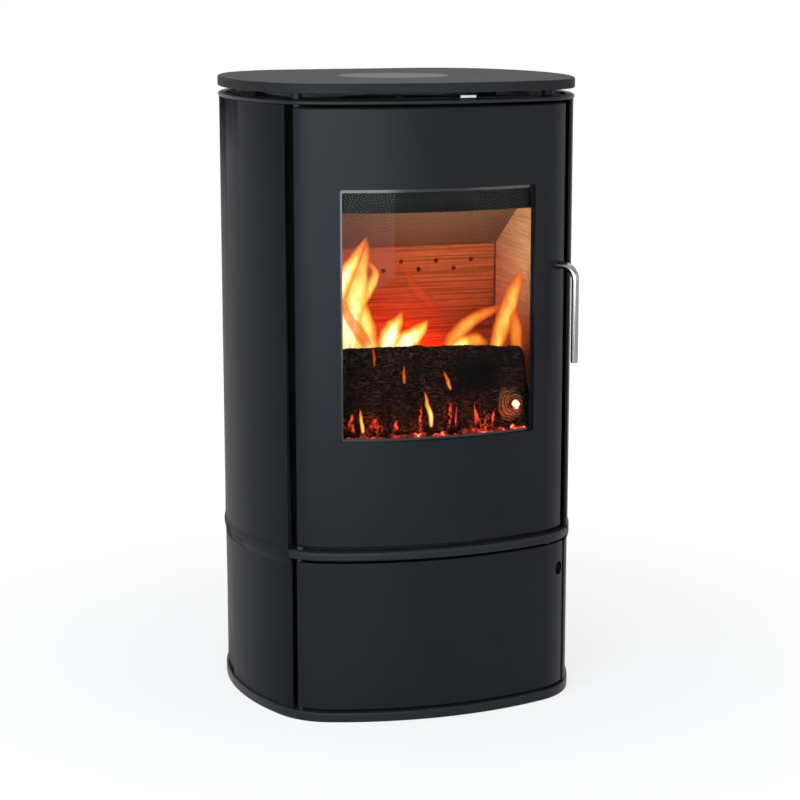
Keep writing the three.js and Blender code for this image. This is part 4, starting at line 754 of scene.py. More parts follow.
def side_panel(side):
    """Sheet of one side, with a lip at the ledge that runs down and out towards the back."""
    bottom, top = 0.0155, 0.9677
    rings = []
    edge_steps = (0.0, 0.12, 0.3, 0.55, 0.85)
    stations = [PANEL_UPPER + s for s in edge_steps] + spread(PANEL_UPPER + 2, 149.2, 0.45)
    stations += [149.6, PANEL_REAR]
    for index, angle in enumerate(stations):
        lip = LEDGE_TOP + 0.002 - 0.010 * share_between(angle, ARC_ENDS[1], ARC_ENDS[1] + 35)
        levels = [bottom, bottom + 0.0006] + spread(0.030, 0.240, 0.07)
        levels += spread(0.246, lip - 0.004, 0.0026) + spread(lip - 0.003, lip + 0.006, 0.0011)
        levels += spread(0.30, top - 0.0006, 0.09) + [top]
        soften = 0.0
        if index < len(edge_steps):
            reach = (0.85 - edge_steps[index]) / 0.85
            soften = 0.0016 * (1 - math.sqrt(max(0.0, 1 - reach * reach)))
        if angle > 149.3:
            soften = 0.0005 if angle < 149.8 else 0.0012
        outer = []
        for z in levels:
            offset = 0.0015 + 0.0031 * blend_curve(z, 0.250, 0.2635)
            offset -= 0.0021 * blend_curve(z, lip - 0.003, lip + 0.0035)
            if z in (bottom, top):
                offset -= 0.0006
            outer.append((offset - soften, z))
        inner = [(-0.0015, z) for z in (top, lip, LEDGE_BOTTOM, bottom)]
        ring = []
        for offset, z in outer + inner:
            shift = panel_front_angle(z) - PANEL_UPPER
            if angle > PANEL_UPPER + 1.9:
                shift *= max(0.0, PANEL_UPPER + 5 - angle) / 3.1
            ring.append((*plan_point(side * (angle + shift), offset), z))
        rings.append(ring)
    return loft(rings)


for side, word in ((-1, "left"), (1, "right")):
    panel = mesh_object("side_panel_" + word, *side_panel(side), side_paint, 40)
    inward = [float(v.normal.x * v.co.x + v.normal.y * v.co.y < 0) for v in panel.data.vertices]
    panel.data.attributes.new("inward", "FLOAT", "POINT").data.foreach_set("value", inward)
    settle(panel, ROOT, "body_paint", "side_panel_" + word)


def deck_parts():
    """Plate between storage space and firebox, and the rounded nose that shows as the ledge."""
    rear = 0.2283
    clipped = [(x, min(y, rear)) for x, y in (plan_point(a, -0.002) for a in WHOLE)]
    plate = loft([[(x, y, z) for x, y in clipped] for z in (0.270, 0.2759)])
    profile = rounded_levels(0.0046, LEDGE_BOTTOM, LEDGE_TOP, 0.0038, 6)
    angles = spread(-PANEL_LOWER, PANEL_LOWER, 1.0)

    def section(angle, end):

        def follow(z):
            return math.copysign(panel_front_angle(z) - PANEL_LOWER - 0.12, angle) if end else 0.0

        points = [(-0.0234, LEDGE_BOTTOM)] + profile + [(-0.0234, LEDGE_TOP)]
        return [(o, z, follow(z)) for o, z in points]

    return merged(plate, sweep_round(angles, section))


deck = mesh_object("ledge_deck", *deck_parts(), edge_paint, 40)
settle(deck, ROOT, "body_paint", "mid_deck")

AIR_HOLES = (-0.064, -0.032, 0.0, 0.032, 0.064)


def ring_plate():
    profile = rounded_levels(0.0043, RING_BOTTOM, RING_TOP, 0.0025, 5)
    inner = [(-0.066, RING_TOP), (-0.066, RING_BOTTOM)]
    plate = loft([[(*plan_point(a, o), z) for o, z in profile + inner] for a in WHOLE], True)
    tools = []
    for side in (-1, 1):
        for start in (68, 82, 96, 110):
            ends = (start, start + 11) if side > 0 else (-start - 11, -start)
            tools.append(curved_wall(*ends, -0.024, -0.009, 0.96, 0.98))
    for x in AIR_HOLES:
        tools.append(box(x - 0.010, x + 0.010, FRONT_LINE + 0.032, FRONT_LINE + 0.040, 0.96, 0.98))
    made = cut("ring_plate", plate, tools, edge_paint, 40)
    bosses = []
    for angle in (-64, 64, -140, 140):
        x, y = plan_point(angle, -0.038)
        bosses.append(rod(0.018, (x, y, RING_TOP - 0.001), (x, y, 0.9842), 32))
    return fold_in(made, bosses, 40)


settle(ring_plate(), ROOT, "body_paint", "top_ring")

slab = outline_plate(rounded_levels(0.0048, TOP_BOTTOM, HEIGHT, 0.0024))
flue_hole = rod(0.1654, (0, 0, 0.97), (0, 0, 1.01), 96)
cover_recess = rod(0.1826, (0, 0, 0.9921), (0, 0, 1.01), 128)
top = cut("top_plate", slab, [flue_hole, cover_recess], top_paint, 40)
smooth(top, 40)
settle(top, ROOT, "top_paint", "top_plate")


disc = ((0.0895, 0.9924), (0.0907, 0.9930), (0.0907, 0.9990), (0.0904, 0.9996), (0.0897, 1.0))
disc = loft([[(r * c, r * d, z) for c, d in circle(96)] for r, z in disc])
cover = mesh_object("flue_cover_disc", *disc, cover_paint, 40)
settle(cover, "flue_lid", "top_paint", "flue_cover")


def edge_fall(inset, edge, most):
    """How far a rounded side edge has fallen back at inset from the rim."""
    if inset >= edge:
        return 0.0
    return min(edge - math.sqrt(max(0.0, edge * edge - (edge - inset) ** 2)), edge * most)


def pan_stations(left, right, strip, radius, clear):
    """Stations across a door: fine ones on its two rounded edges, even ones between."""
    middle = spread(left + clear, right - clear, 1.0)
    return [left + s / radius for s in strip] + middle + [right - s / radius for s in reversed(strip)]


def pan_section(flange, skin, low, high, lip, face):
    """Section of a door pan: rounded outer face, and flanges turned back behind a skin."""
    back = [(flange, high), (flange, high - lip), (skin, high - lip), (skin, low + lip), (flange, low + lip)]
    return [(flange, low)] + face + back


def pan_walls(left, right, turn, inner, outer, low, high, clear):
    """Turned-back walls along the two side edges of a door pan."""
    spans = ((left + 0.1, left + turn), (right - turn, right - 0.1))
    return [curved_wall(*span, inner, outer, low + clear, high - clear) for span in spans]


def hinge_pads(start, stop, inner, outer, low, high, tall):
    """Blocks at the foot and the head of a door that hold its hinge pins."""
    spans = ((low + 0.001, low + tall), (high - tall, high - 0.001))
    return [curved_wall(start, stop, inner, outer, *span) for span in spans]


def facing(angle):
    """Unit vector square to the outline at angle."""
    return Vector((math.sin(angle * RAD), -math.cos(angle * RAD), 0))


def bore(diameter, centre, normal, reach, sides):
    return rod(diameter, centre + normal * reach, centre - normal * reach, sides)


def door_shell():
    edge = 0.0035
    skin, face, flange = -0.009, -0.003, -0.0155
    radius = (CORNER + face) * RAD
    strip = [edge * s for s in (0.0, 0.06, 0.2, 0.42, 0.7, 1.0)]
    stations = pan_stations(-DOOR_HALF, DOOR_HALF, strip, radius, edge / radius + 0.5)

    def section(angle, end):
        fall = edge_fall((DOOR_HALF - abs(angle)) * radius, edge, 0.97)
        profile = rounded_levels(face - fall, DOOR_BOTTOM, DOOR_TOP, edge - fall, 5)
        return pan_section(flange, skin, DOOR_BOTTOM, DOOR_TOP, 0.005, profile)

    return sweep_round(stations, section)


normal = facing(35)
stub = Vector((*plan_point(35, -0.003), 0.7098))
opening = rounded_window(0, 0.004, FRONT_LINE - 0.02, FRONT_LINE + 0.06)
door = cut("upper_door", door_shell(), [opening, bore(0.0158, stub, normal, 0.03, 48)], body_paint)
turn = 0.005 / ((CORNER - 0.009) * RAD)
shells = pan_walls(-DOOR_HALF, DOOR_HALF, turn, -0.0155, -0.007, DOOR_BOTTOM, DOOR_TOP, 0.002)
shells += hinge_pads(-49.8, -42, -0.0154, -0.006, DOOR_BOTTOM, DOOR_TOP, 0.014)
fold_in(door, shells, 35)
settle(door, DOOR, "body_paint", "door_casting")

GLASS_FRONT, GLASS_BACK = -0.0110, -0.0150
reach = 19.3786
sheet = curved_wall(-reach, reach, GLASS_BACK, GLASS_FRONT, 0.436, 0.853)
glass = mesh_object("curved_glass", *sheet, pane, 40)
settle(glass, DOOR, "glass", "door_glass")


# A thin black band on the front of the glass, 5.2 mm wide inside the window edge.
sheet = curved_wall(-reach + 0.2, reach - 0.2, GLASS_FRONT + 0.00004, GLASS_FRONT + 0.00028, 0.437, 0.852)
window = rounded_window(-0.0052, 0.003, FRONT_LINE - 0.02, FRONT_LINE + 0.06)
border = cut("printed_glass_border", sheet, [window], border_black)
smooth(border, 40)
settle(border, DOOR, "glass")


def store_door():
    o, flange, inner = 0.0005, -0.007, -0.0025
    edge = 0.0013
    z0, z1 = 0.0197, 0.2575
    radius = (CORNER + o) * RAD
    strip = [edge * s for s in (0.0, 0.15, 0.5, 1.0)]
    left, right = -48.3, 49.6
    stations = pan_stations(left, right, strip, radius, 1.2)

    def section(angle, end):
        fall = edge_fall(min(angle - left, right - angle) * radius, edge, 0.95)
        return pan_section(flange, inner, z0, z1, 0.003, rounded_levels(o - fall, z0, z1, edge - fall, 4))

    finger_hole = bore(0.022, Vector((*plan_point(42, 0.0005), 0.2135)), facing(42), 0.02, 64)
    made = cut("storage_door", sweep_round(stations, section), [finger_hole], body_paint)
    turn = 0.003 / ((CORNER + inner) * RAD)
    shells = pan_walls(left, right, turn, flange, inner + 0.0005, z0, z1, 0.0015)
    shells += hinge_pads(left + 0.3, left + 5, flange + 0.0003, inner + 0.0004, z0, z1, 0.009)
    return fold_in(made, shells, 35)


settle(store_door(), STORE, "body_paint", "lower_door")


def handle_tube():
    """Rod out of the door, one bend and straight down to a rounded end."""
    radius, bend, stand, drop = 0.006, 0.021, 0.035, 0.153
    path = [(-0.0151, 0.0), (0.0, 0.0), (stand - bend, 0.0)]
    for i in range(1, 17):
        a = i / 16 * math.pi / 2
        path.append((stand - bend + bend * math.sin(a), -bend * (1 - math.cos(a))))
    path += [(stand, -0.06), (stand, -0.10), (stand, -drop + 0.0016)]
    sizes = [radius] * len(path)
    for i in range(1, 6):
        a = i / 5 * math.pi / 2
        path.append((stand, -drop + 0.0016 - 0.0016 * math.sin(a)))
        sizes.append(radius - 0.0016 * (1 - math.cos(a)))
    across = Vector((normal.y, -normal.x, 0))
    rings = []
    for i, (out, z) in enumerate(path):
        before, after = path[max(i - 1, 0)], path[min(i + 1, len(path) - 1)]
        along = (normal * (after[0] - before[0]) + Vector((0, 0, after[1] - before[1]))).normalized()
        if i >= 19:
            along = Vector((0, 0, -1))
        other = along.cross(across)
        centre = stub + normal * out + Vector((0, 0, z))
        rings.append([centre + (across * c + other * d) * sizes[i] for c, d in circle(40)])
    return loft(rings)


grip = mesh_object("handle_rod", *handle_tube(), handle_steel, 50)
settle(grip, HANDLE, "stainless", "handle")


# ------------------------------------------------------------------ fire
def rough(point, scale, seed=0.0):
    return noise.noise(Vector(point) * scale + Vector((seed, seed * 1.7, -seed)))


# Where the cracks across the front of the log stand.
CRACKS = (-0.136, -0.119, -0.095, -0.071, -0.046, -0.012, 0.024, 0.052, 0.083, 0.115)
LOG_RADIUS = 0.069


def log_mesh():
    """Squarish burnt log: split along and across into plates, with a burnt hollow and a knot."""
    rings = []
    length, centre = 0.3179, Vector((0.005, FRONT_LINE + 0.128, 0.5030))
    steps, sides = 240, 230
    for i in range(steps + 1):
        t = i / steps
        along = -length / 2 + t * length
        close = min(t, 1 - t) * length
        end = 1 - 0.05 * max(0.0, 1 - close / 0.007) ** 2
        ring = []
        for j in range(sides):
            a = 2 * math.pi * j / sides
            c, d = math.cos(a), math.sin(a)
            square = (abs(c) ** 14 + abs(d) ** 14) ** (-1 / 14)
            around = a * 0.078
            drift = 0.8 * rough((along * 20, around * 20, 1), 1.0, 2.0)
            plank = noise.voronoi(Vector((along * 34 + drift, around * 70, 2.0)))[0]
            gap = max(0.0, 0.20 - (plank[1] - plank[0])) / 0.20
            plate = noise.voronoi(Vector((along * 75, around * 170, 6.0)))[0]
            fine = max(0.0, 0.22 - (plate[1] - plate[0])) / 0.22
            shell = LOG_RADIUS * end * square * (1 + 0.012 * math.sin(3 * a + 2 * t))
            shell += 0.0032 * rough((along * 11, c * 1.5, d * 1.5), 1.0, 3.0)
            shell += 0.0016 * rough((along * 60, c * 9, d * 9), 1.0, 7.0)
            shell -= 0.0040 * gap ** 1.5 + 0.0013 * fine
            x = centre.x + along
            y = centre.y + shell * c + 0.005 * math.sin(math.pi * t)
            z = centre.z + shell * d + 0.010 * (0.5 - t) + 0.002 * math.sin(math.pi * t)
            z -= 0.0140 * (shell * c / LOG_RADIUS) * max(0.0, shell * d / LOG_RADIUS)
            front = max(0.0, -c)
            for place in CRACKS:
                wave = place + 0.004 * rough((z * 22, place * 40, 0), 1.0, 5.0)
                deep = max(0.0, 1 - abs(x - wave) / 0.0042)
                y += 0.0060 * front * deep ** 1.3
            burnt = math.hypot((x - HOLLOW[0]) / 0.034, (z - HOLLOW[1]) / 0.027)
            burnt += 0.35 * rough((x * 45, z * 45, 0), 1.0, 9.0)
            y += 0.013 * front * max(0.0, 1 - burnt ** 4) if burnt < 1 else 0.0
            knot = math.hypot((x - KNOT[0]) / 0.020, (z - KNOT[1]) / 0.030)
            if knot < 1.25 and front > 0.3:
                y -= 0.0045 * math.cos(min(1.0, knot) * math.pi / 2) + 0.0008 * math.cos(knot * 22)
            x += (0.10 * (shell * c + LOG_RADIUS) - 0.145 * (z - centre.z)) * max(0.0, t - 0.55) / 0.45
            ring.append((x, y, z))
        rings.append(ring)
    points, faces = loft(rings)
    faces = faces[:-2]
    for end, flip in ((0, True), (steps, False)):
        base_index = end * sides
        middle = Vector((0, 0, 0))
        for j in range(sides):
            middle += Vector(points[base_index + j]) / sides
        previous = base_index
        for step in (0.93, 0.82, 0.7, 0.55, 0.4, 0.25, 0.1):
            start = len(points)
            for j in range(sides):
                p = Vector(points[base_index + j])
                q = middle + (p - middle) * step
                q.x += 0.0022 * rough((q.y * 70, q.z * 70, end), 1.0, 5.0) * (1 if flip else -1)
                points.append(tuple(q))
            for j in range(sides):
                k = (j + 1) % sides
                faces.append((previous + j, previous + k, start + k, start + j))
            previous = start
        faces.append(tuple(range(previous, previous + sides)))
    return points, faces


log = mesh_object("burning_log", *log_mesh(), charred, 60, weighted=False)
settle(log, ROOT, "charred_log", "log")


def bed_surface():
    """Closed bed of embers that stays clear of the underside of the log."""
    columns, rows = 90, 60
    half = 0.17597
    y0, y1 = FRONT_LINE + 0.102, FRONT_LINE + 0.3125
    centre, clear = FRONT_LINE + 0.128, 0.0795
    points, faces = [], []
    for layer in (0, 1):
        for r in range(rows + 1):
            for c in range(columns + 1):
                u, v = c / columns, r / rows
                x, y = -half + 2 * half * u, y0 + (y1 - y0) * v
                edge = min(1, 5 * min(u, 1 - u), 4 * min(v, 1 - v))
                lumps = 0.005 * rough((x, y, 0.3), 38, 2.0) + 0.002 * rough((x, y, 0.1), 130, 4.0)
                lift = 0.003 + edge * (0.011 + lumps)
                under = max(0.0, clear ** 2.6 - abs(y - centre) ** 2.6)
                lift = min(lift, 0.010 + clear - under ** (1 / 2.6))
                points.append((x, y, 0.4154 + (max(lift, 0.001) if layer else 0.0)))
    stride = columns + 1
    top_start = stride * (rows + 1)
    for r in range(rows):
        for c in range(columns):
            a = r * stride + c
            faces.append((a, a + stride, a + stride + 1, a + 1))
            b = top_start + a
            faces.append((b, b + 1, b + stride + 1, b + stride))
    rim = [c for c in range(columns)] + [r * stride + columns for r in range(rows)]
    rim += [rows * stride + c for c in range(columns, 0, -1)] + [r * stride for r in range(rows, 0, -1)]
    for i, a in enumerate(rim):
        b = rim[(i + 1) % len(rim)]
        faces.append((a, b, top_start + b, top_start + a))
    return points, faces


bed = mesh_object("ember_bed_surface", *bed_surface(), coals, 60, weighted=False)
settle(bed, ROOT, "embers", "ember_bed")


def coal_shape():
    work = bmesh.new()
    bmesh.ops.create_icosphere(work, subdivisions=1, radius=0.5)
    for vertex in work.verts:
        p = vertex.co.copy()
        stretch = 1 + 0.35 * noise.noise(p * 2.3) + 0.15 * noise.noise(p * 5.1)
        vertex.co = Vector((p.x * 1.25, p.y, p.z * 0.8)) * stretch
    mesh = bpy.data.meshes.new("coal")
    work.to_mesh(mesh)
    work.free()
    return placed("coal", mesh)


def scatter_coals(carrier, label, seed, density, small, large):
    """Geometry nodes: coals scattered over the bed, realised into one piece."""
    coal = coal_shape()
    tree = bpy.data.node_groups.new("scatter coals", "GeometryNodeTree")
    tree.interface.new_socket("Geometry", in_out="INPUT", socket_type=GEOMETRY)
    sockets = {}
    values = {"Seed": seed, "Density": density, "Smallest": small, "Largest": large}
    for size in values:
        kind = "NodeSocketInt" if size == "Seed" else FLOAT
        sockets[size] = tree.interface.new_socket(size, in_out="INPUT", socket_type=kind).identifier
    tree.interface.new_socket("Geometry", in_out="OUTPUT", socket_type=GEOMETRY)
    came, goes = tree.nodes.new("NodeGroupInput"), tree.nodes.new("NodeGroupOutput")
    scatter = tree.nodes.new("GeometryNodeDistributePointsOnFaces")
    source = tree.nodes.new("GeometryNodeObjectInfo")
    source.inputs["Object"].default_value = coal
    instance = tree.nodes.new("GeometryNodeInstanceOnPoints")
    turning = tree.nodes.new("FunctionNodeRandomValue")
    turning.data_type = "FLOAT_VECTOR"
    turning.inputs["Max"].default_value = (6.28, 6.28, 6.28)
    sizing = tree.nodes.new("FunctionNodeRandomValue")
    realize = tree.nodes.new("GeometryNodeRealizeInstances")
    paint = tree.nodes.new("GeometryNodeSetMaterial")
    paint.inputs["Material"].default_value = coals
    for giver, output, taker, inlet in (
        (came, "Geometry", scatter, "Mesh"), (came, "Density", scatter, "Density"),
        (came, "Seed", scatter, "Seed"),
        (scatter, "Points", instance, "Points"), (source, "Geometry", instance, "Instance"),
        (turning, "Value", instance, "Rotation"), (came, "Smallest", sizing, 2), (came, "Largest", sizing, 3),
        (sizing, 1, instance, "Scale"), (instance, "Instances", realize, "Geometry"),
        (realize, "Geometry", paint, "Geometry"), (paint, "Geometry", goes, "Geometry"),
    ):
        link(giver.outputs[output], taker.inputs[inlet])
    modifier = carrier.modifiers.new("coals", "NODES")
    modifier.node_group = tree
    for size, value in values.items():
        modifier[sockets[size]] = value
    graph = bpy.context.evaluated_depsgraph_get()
    mesh = bpy.data.meshes.new_from_object(carrier.evaluated_get(graph))
    carrier.modifiers.clear()
    bpy.data.objects.remove(coal)
    mesh.polygons.foreach_set("use_smooth", [False] * len(mesh.polygons))
    return placed(label, mesh)


def carrier(rows, columns, surface):
    """Open sheet that the coals lie on."""
    points = [surface(c / columns, r / rows) for r in range(rows + 1) for c in range(columns + 1)]
    corners = [r * (columns + 1) + c for r in range(rows) for c in range(columns)]
    faces = [(a, a + 1, a + columns + 2, a + columns + 1) for a in corners]
    return placed("carrier", plain_mesh("carrier", points, faces))


def front_bank(u, v):
    """Slope of coals heaped against the front of the log."""
    x = -0.166 + 0.332 * u
    rise = 0.026 + 0.007 * rough((x * 30, 0.0, 0.0), 1.0, 6.0)
    return x, FRONT_LINE + 0.034 + 0.022 * v, 0.422 + rise * v ** 0.7


def rear_bed(u, v):
    return -0.164 + 0.328 * u, FRONT_LINE + 0.196 + 0.106 * v, 0.4275


for label, surface, seed, density in (
    ("coals_in_front", front_bank, 3, 23000.0),
    ("coals_behind", rear_bed, 5, 7000.0),
):
    ground = carrier(4, 12, surface)
    loose = scatter_coals(ground, label, seed, density, 0.006, 0.015)
    bpy.data.objects.remove(ground)
    settle(loose, ROOT, "embers")


def catmull(stations, t):
    """Smooth interpolation through equally spaced stations at t from 0 to 1."""
    place = t * (len(stations) - 1)
    i = min(int(place), len(stations) - 2)
    f = place - i
    around = [stations[min(max(k, 0), len(stations) - 1)] for k in range(i - 1, i + 3)]
    return [
        0.5 * (2 * b + (c - a) * f + (2 * a - 5 * b + 4 * c - d) * f * f + (3 * b - a - 3 * c + d) * f ** 3)
        for a, b, c, d in zip(*around)
    ]


def flame_tongue(depth, stations, seed, flat=0.32):
    """Closed flat tongue along a line of (x, z, half width) stations, in millimetres."""
    steps, sides = 64, 28
    rings, rises, cores = [], [], []
    for i in range(steps + 1):
        t = i / steps
        x, z, half = catmull(stations, t)
        x0, z0, _ = catmull(stations, max(0.0, t - 0.01))
        x1, z1, _ = catmull(stations, min(1.0, t + 0.01))
        run = Vector((x1 - x0, z1 - z0)).normalized()
        half = max(half, 0.4) / 1000
        if i in (0, steps):
            half *= 0.25
        sway = 0.004 * rough((seed, t * 4, 0), 1.0, seed) * t
        ring = []
        for j in range(sides):
            a = 2 * math.pi * j / sides
            ragged = 1 + 0.22 * rough((math.cos(a) * 0.7, t * 5, seed), 1.0, seed)
            across = half * ragged * math.cos(a)
            ring.append((
                x / 1000 + sway + run.y * across,
                FRONT_LINE + depth + flat * half * math.sin(a) + 0.012 * t * t,
                z / 1000 - run.x * across,
            ))
            rises.append(t)
            cores.append(abs(math.sin(a)))
        rings.append(ring)
    points, faces = loft(rings)
    return points, faces, rises, cores


def flame_piece(name, tongues):
    """Tongues given as (depth behind the front line, warmth, stations), joined into one piece."""
    shells, rises, cores, heats = [], [], [], []
    for index, (depth, heat, stations) in enumerate(tongues):
        points, faces, more_rises, more_cores = flame_tongue(depth, stations, index * 1.7 + 0.4)
        shells.append((points, faces))
        rises += more_rises
        cores += more_cores
        heats += [heat] * len(points)
    mesh = plain_mesh(name, *merged(*shells))
    for label, values in (("rise", rises), ("core", cores), ("warmth", heats)):
        mesh.attributes.new(label, "FLOAT", "POINT").data.foreach_set("value", values)
    face_outwards(mesh)
    mesh.polygons.foreach_set("use_smooth", [True] * len(mesh.polygons))
    mesh.materials.append(flame_paint)
    return settle(placed(name, mesh), ROOT, "embers")


# ------------------------------------------------------------------ flames
flame_piece("flames_left", [
    (0.146, 0.85, [
        (-78, 552, 30), (-84, 584, 29), (-88, 612, 25), (-92, 642, 19), (-92, 668, 11), (-88, 690, 2),
    ]),
    (0.138, 1.00, [
        (-118, 568, 30.5), (-114, 604, 30.5), (-109, 633, 26.8), (-102, 659, 24.4), (-97, 682, 22),
        (-92, 702, 18.3), (-87, 721, 13.4), (-82, 738, 8.1), (-79, 755, 1.2),
    ]),
    (0.130, 0.90, [
        (-142, 640, 9.8), (-128, 676, 15.9), (-116, 701, 15.9), (-103, 722, 12.2), (-90, 741, 6.1),
        (-81, 755, 1),
    ]),
    (0.120, 0.45, [(-129, 662, 6.1), (-118, 632, 9.8), (-103, 608, 12.2), (-88, 590, 12.2), (-75, 566, 8.5)]),
    (0.142, 0.80, [
        (-98, 632, 6.1), (-93, 646, 9.8), (-81, 666, 12.2), (-71, 681, 12.2), (-66, 696, 8.1), (-73, 707, 4),
        (-85, 714, 1.2),
    ]),
])
flame_piece("flames_middle", [
    (0.150, 1.15, [(-39, 560, 23.8), (-41, 584, 23.8), (-36, 600, 19.8), (-26, 614, 13.2), (-17, 630, 1.3)]),
    (0.140, 1.15, [(-36, 563, 19.8), (-21, 580, 22.4), (-4, 590, 19.8), (11, 602, 13.2), (25, 616, 1.3)]),
    (0.165, 0.14, [(-9, 702, 3.3), (-1, 679, 6.6), (16, 655, 9.2), (36, 640, 6.6), (60, 622, 2.2)]),
])
flame_piece("flames_right", [
    (0.150, 0.62, [
        (57, 558, 13.7), (67, 580, 17.2), (81, 597, 16), (100, 611, 13.7), (120, 620, 11.4), (139, 627, 8),
        (155, 633, 1.6),
    ]),
    (0.135, 0.88, [(55, 562, 6.9), (66, 572, 12.6), (81, 577, 16), (103, 579, 14.9), (126, 570, 5.7)]),
    (0.125, 0.72, [
        (127, 556, 11.4), (134, 584, 16), (142, 610, 17.2), (151, 634, 17.2), (159, 655, 16),
        (167, 670, 12.6), (173, 683, 8), (177, 694, 1.9),
    ]),
    (0.120, 0.50, [(165, 558, 11.4), (163, 583, 13.7), (161, 608, 13.7), (156, 631, 10.3), (152, 649, 1.9)]),
])
flame_piece("flames_on_the_log", [
    (0.052, 0.80, [(-4, 460, 3), (-4, 478, 5), (-9, 498, 4), (-12, 517, 0.8)]),
    (0.053, 0.45, [(-48, 532, 2), (-47, 544, 3), (-45, 560, 0.8)]),
    (0.053, 0.55, [(29, 518, 2), (24, 532, 4), (21, 548, 0.8)]),
    (0.056, 0.30, [(-95, 562, 1.6), (-95, 576, 2.9), (-93, 592, 0.8)]),
    (0.050, 0.80, [(-116, 458, 3), (-118, 478, 3.6), (-119, 495, 0.8)]),
])

# ------------------------------------------------------------------ bar of the air slide, rear screws
knob = mesh_object("air_knob_bar", *box(0.0265, 0.0515, -0.2530, -0.2462, 0.9766, 0.9802), knob_steel)
settle(knob, "air_control", "stainless", "air_knob")

# Radius and depth of a screw head, from the sheet over its rounded rim and into its socket.
SCREW_HEAD = (
    (0.0045, 0.2312), (0.0045, 0.2324), (0.0036, 0.2336),
    (0.0020, 0.2340), (0.0020, 0.2328), (0.0004, 0.2328),
)
screw_parts = [
    loft([[(x + r * c, y, z + r * d) for c, d in circle(24)] for r, y in SCREW_HEAD])
    for x in (-0.172, 0.172) for z in (0.035, 0.30, 0.56, 0.93)
]
screws = mesh_object("rear_sheet_screws", *merged(*screw_parts), zinc_steel, 35, weighted=False)
settle(screws, ROOT, "bare_steel")

# ------------------------------------------------------------------ materials of the carried-over nodes
finishes = {
    inner_paint: [
        "storage_wall_left", "storage_wall_right", "rear_panel",
        "firebox_shell", "firebox_floor", "firebox_roof",
        "hearth_rail_left", "hearth_rail_right", "handle_bush", "air_slide",
    ],
    iron: [
        "front_frame", "flue_blank", "rear_flue_collar", "airwash_deflector", "grate",
        "slide_screw_left", "slide_screw_right",
        "hinge_pin_bottom", "hinge_pin_top", "lower_hinge_pin_bottom", "lower_hinge_pin_top",
    ],
    plain_steel: ["ash_pan", "glass_retainer_left", "glass_retainer_right", "latch_keeper"],
    zinc_steel: ["heat_shield", "catch_magnet", "latch_tongue", "latch_nut"],
    back_brick_painted_glow: ["brick_back"],
    fire_brick: ["brick_left", "brick_right", "brick_left_front", "brick_right_front", "hearth_brick"],
    baffle_brick: ["baffle_plate"],
    rope: ["glass_gasket", "door_gasket"],
}
for material, names in finishes.items():
    for name in names:
        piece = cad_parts[name]
        piece.data.materials.clear()
        piece.data.materials.append(material)

# ------------------------------------------------------------------ stage, lights and camera
def background_rays(member):
    """1 on rays that show the background: direct, glossy or through glass, and not after a matt bounce."""
    paths = new_node(member, "LightPath").outputs
    seen = math_node("MAXIMUM", paths["Is Camera Ray"], paths["Is Glossy Ray"])
    seen = math_node("MAXIMUM", seen, paths["Is Transmission Ray"])
    return times(seen, math_node("LESS_THAN", paths["Diffuse Depth"], 0.5))


def light_node(member, kind, colour, strength):
    made = new_node(member, kind)
    made.inputs["Color"].default_value = (*colour, 1)
    made.inputs["Strength"].default_value = strength
    return made


def mix_shaders(factor, first, second, output):
    made = new_node(first, "MixShader")
    for source, socket in zip((factor, first.outputs[0], second.outputs[0]), made.inputs):
        link(source, socket)
    link(made.outputs[0], output.inputs[0])


white = (1, 1, 1)
floor_material, shader, place = begin(
    "studio_floor", Base_Color=(0.90, 0.90, 0.90, 1.0), Roughness=0.9, Specular_IOR_Level=0.1
)
away = new_node(shader, "VectorMath")
away.operation = "LENGTH"
link(place, away.inputs[0])
bare = map_range(map_range(away.outputs["Value"], 0.35, 1.5, smoothly=True), 0.0, 1.0, 0.72, 1.0)
lifted = light_node(shader, "Emission", white, 1.05)
output = floor_material.node_tree.nodes["Material Output"]
mix_shaders(times(background_rays(shader), bare), shader, lifted, output)
bpy.ops.mesh.primitive_plane_add(size=30, location=(0, 0, 0))
floor = bpy.context.object
floor.name = "studio_floor"
floor.data.materials.append(floor_material)

world = bpy.data.worlds.new("studio")
bpy.context.scene.world = world
world.use_nodes = True
sky = world.node_tree
sky.nodes.clear()
dim = light_node(sky, "Background", (0.82, 0.86, 0.92), 0.38)
bright = light_node(sky, "Background", white, 1.0)
mix_shaders(background_rays(sky), dim, bright, new_node(sky, "OutputWorld"))


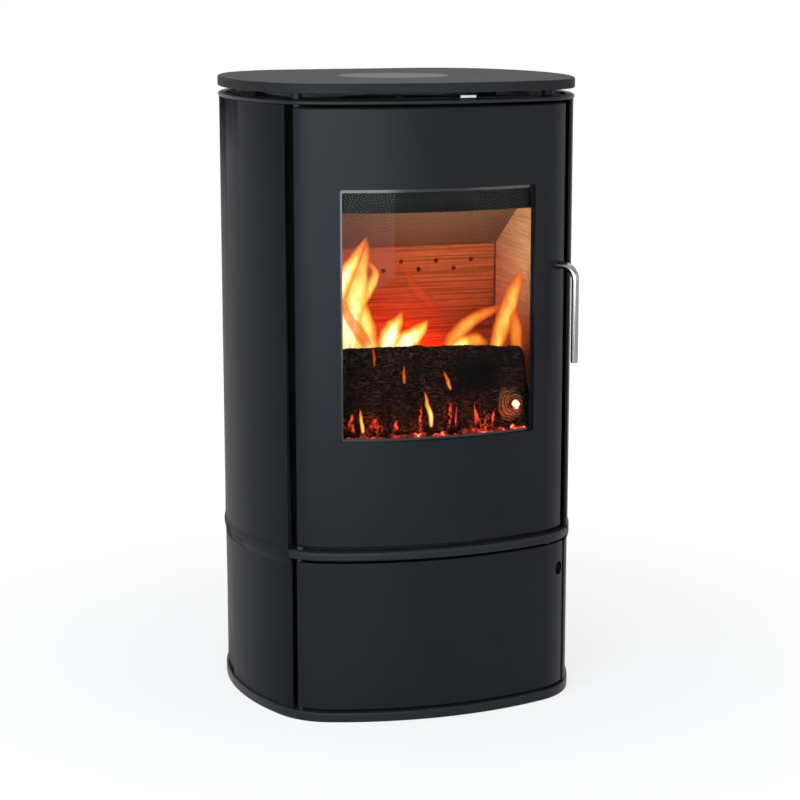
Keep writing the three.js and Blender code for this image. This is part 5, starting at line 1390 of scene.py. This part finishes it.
def area_light(name, place, aim, size, energy, colour=white):
    data = bpy.data.lights.new(name, "AREA")
    data.shape = "RECTANGLE"
    data.size, data.size_y = size
    data.energy = energy
    data.color = colour
    made = placed(name, data)
    made.location = place
    made.rotation_euler = (Vector(aim) - Vector(place)).to_track_quat("-Z", "Y").to_euler()
    return made


def fire_light(name, place, aim, *rest):
    """A lamp inside the fire, at (x, depth behind the front line, z). It shows only by what it lights."""
    place, aim = ((x, FRONT_LINE + depth, z) for x, depth, z in (place, aim))
    made = area_light(name, place, aim, *rest)
    made.visible_camera = made.visible_transmission = made.visible_glossy = False


area_light("key from the left", (-1.55, -2.40, 1.00), (0, 0, 0.68), (3.8, 1.5), 122, (0.80, 0.90, 1.0))
area_light("panel on the right", (1.79, -1.98, 1.10), (0.1, -0.24, 1.10), (1.28, 1.30), 6)
area_light("overhead", (0.0, 0.4, 3.0), (0, 0, 0.9), (2.2, 2.2), 23)
for name, place, aim, size, energy, colour in (
    ("light on the baffle", (0.06, 0.050, 0.63), (0.10, 0.07, 0.86), (0.16, 0.03), 2.0, (1.0, 0.93, 0.62)),
    ("fire glow", (0.0, 0.228, 0.50), (-0.05, 0.275, 0.76), (0.30, 0.05), 1.75, (1.0, 0.065, 0.012)),
    ("coal glow", (0.0, 0.036, 0.452), (0.0, 0.070, 0.520), (0.21, 0.010), 0.24, (1.0, 0.16, 0.06)),
    ("flame light", (0.0, 0.036, 0.60), (0.0, 0.070, 0.50), (0.21, 0.012), 0.065, (1.0, 0.46, 0.26)),
):
    fire_light(name, place, aim, size, energy, colour)

camera_data = bpy.data.cameras.new("camera")
camera = placed("camera", camera_data)
bpy.context.scene.camera = camera
yaw, pitch, focal = 0.3095, 0.1914, 2206.1  # fitted to the photograph: radians, radians, pixels
picture_width = 800
camera_data.sensor_width = 36
camera_data.lens = focal / picture_width * camera_data.sensor_width
camera_data.shift_x = -0.0089
camera_data.clip_start, camera_data.clip_end = 0.05, 60
camera.location = (-1.07567, -3.43358, 1.16274)
look = Vector((math.sin(yaw) * math.cos(pitch), math.cos(yaw) * math.cos(pitch), -math.sin(pitch)))
camera.rotation_euler = look.to_track_quat("-Z", "Y").to_euler()

bpy.context.scene.view_settings.view_transform = "Standard"
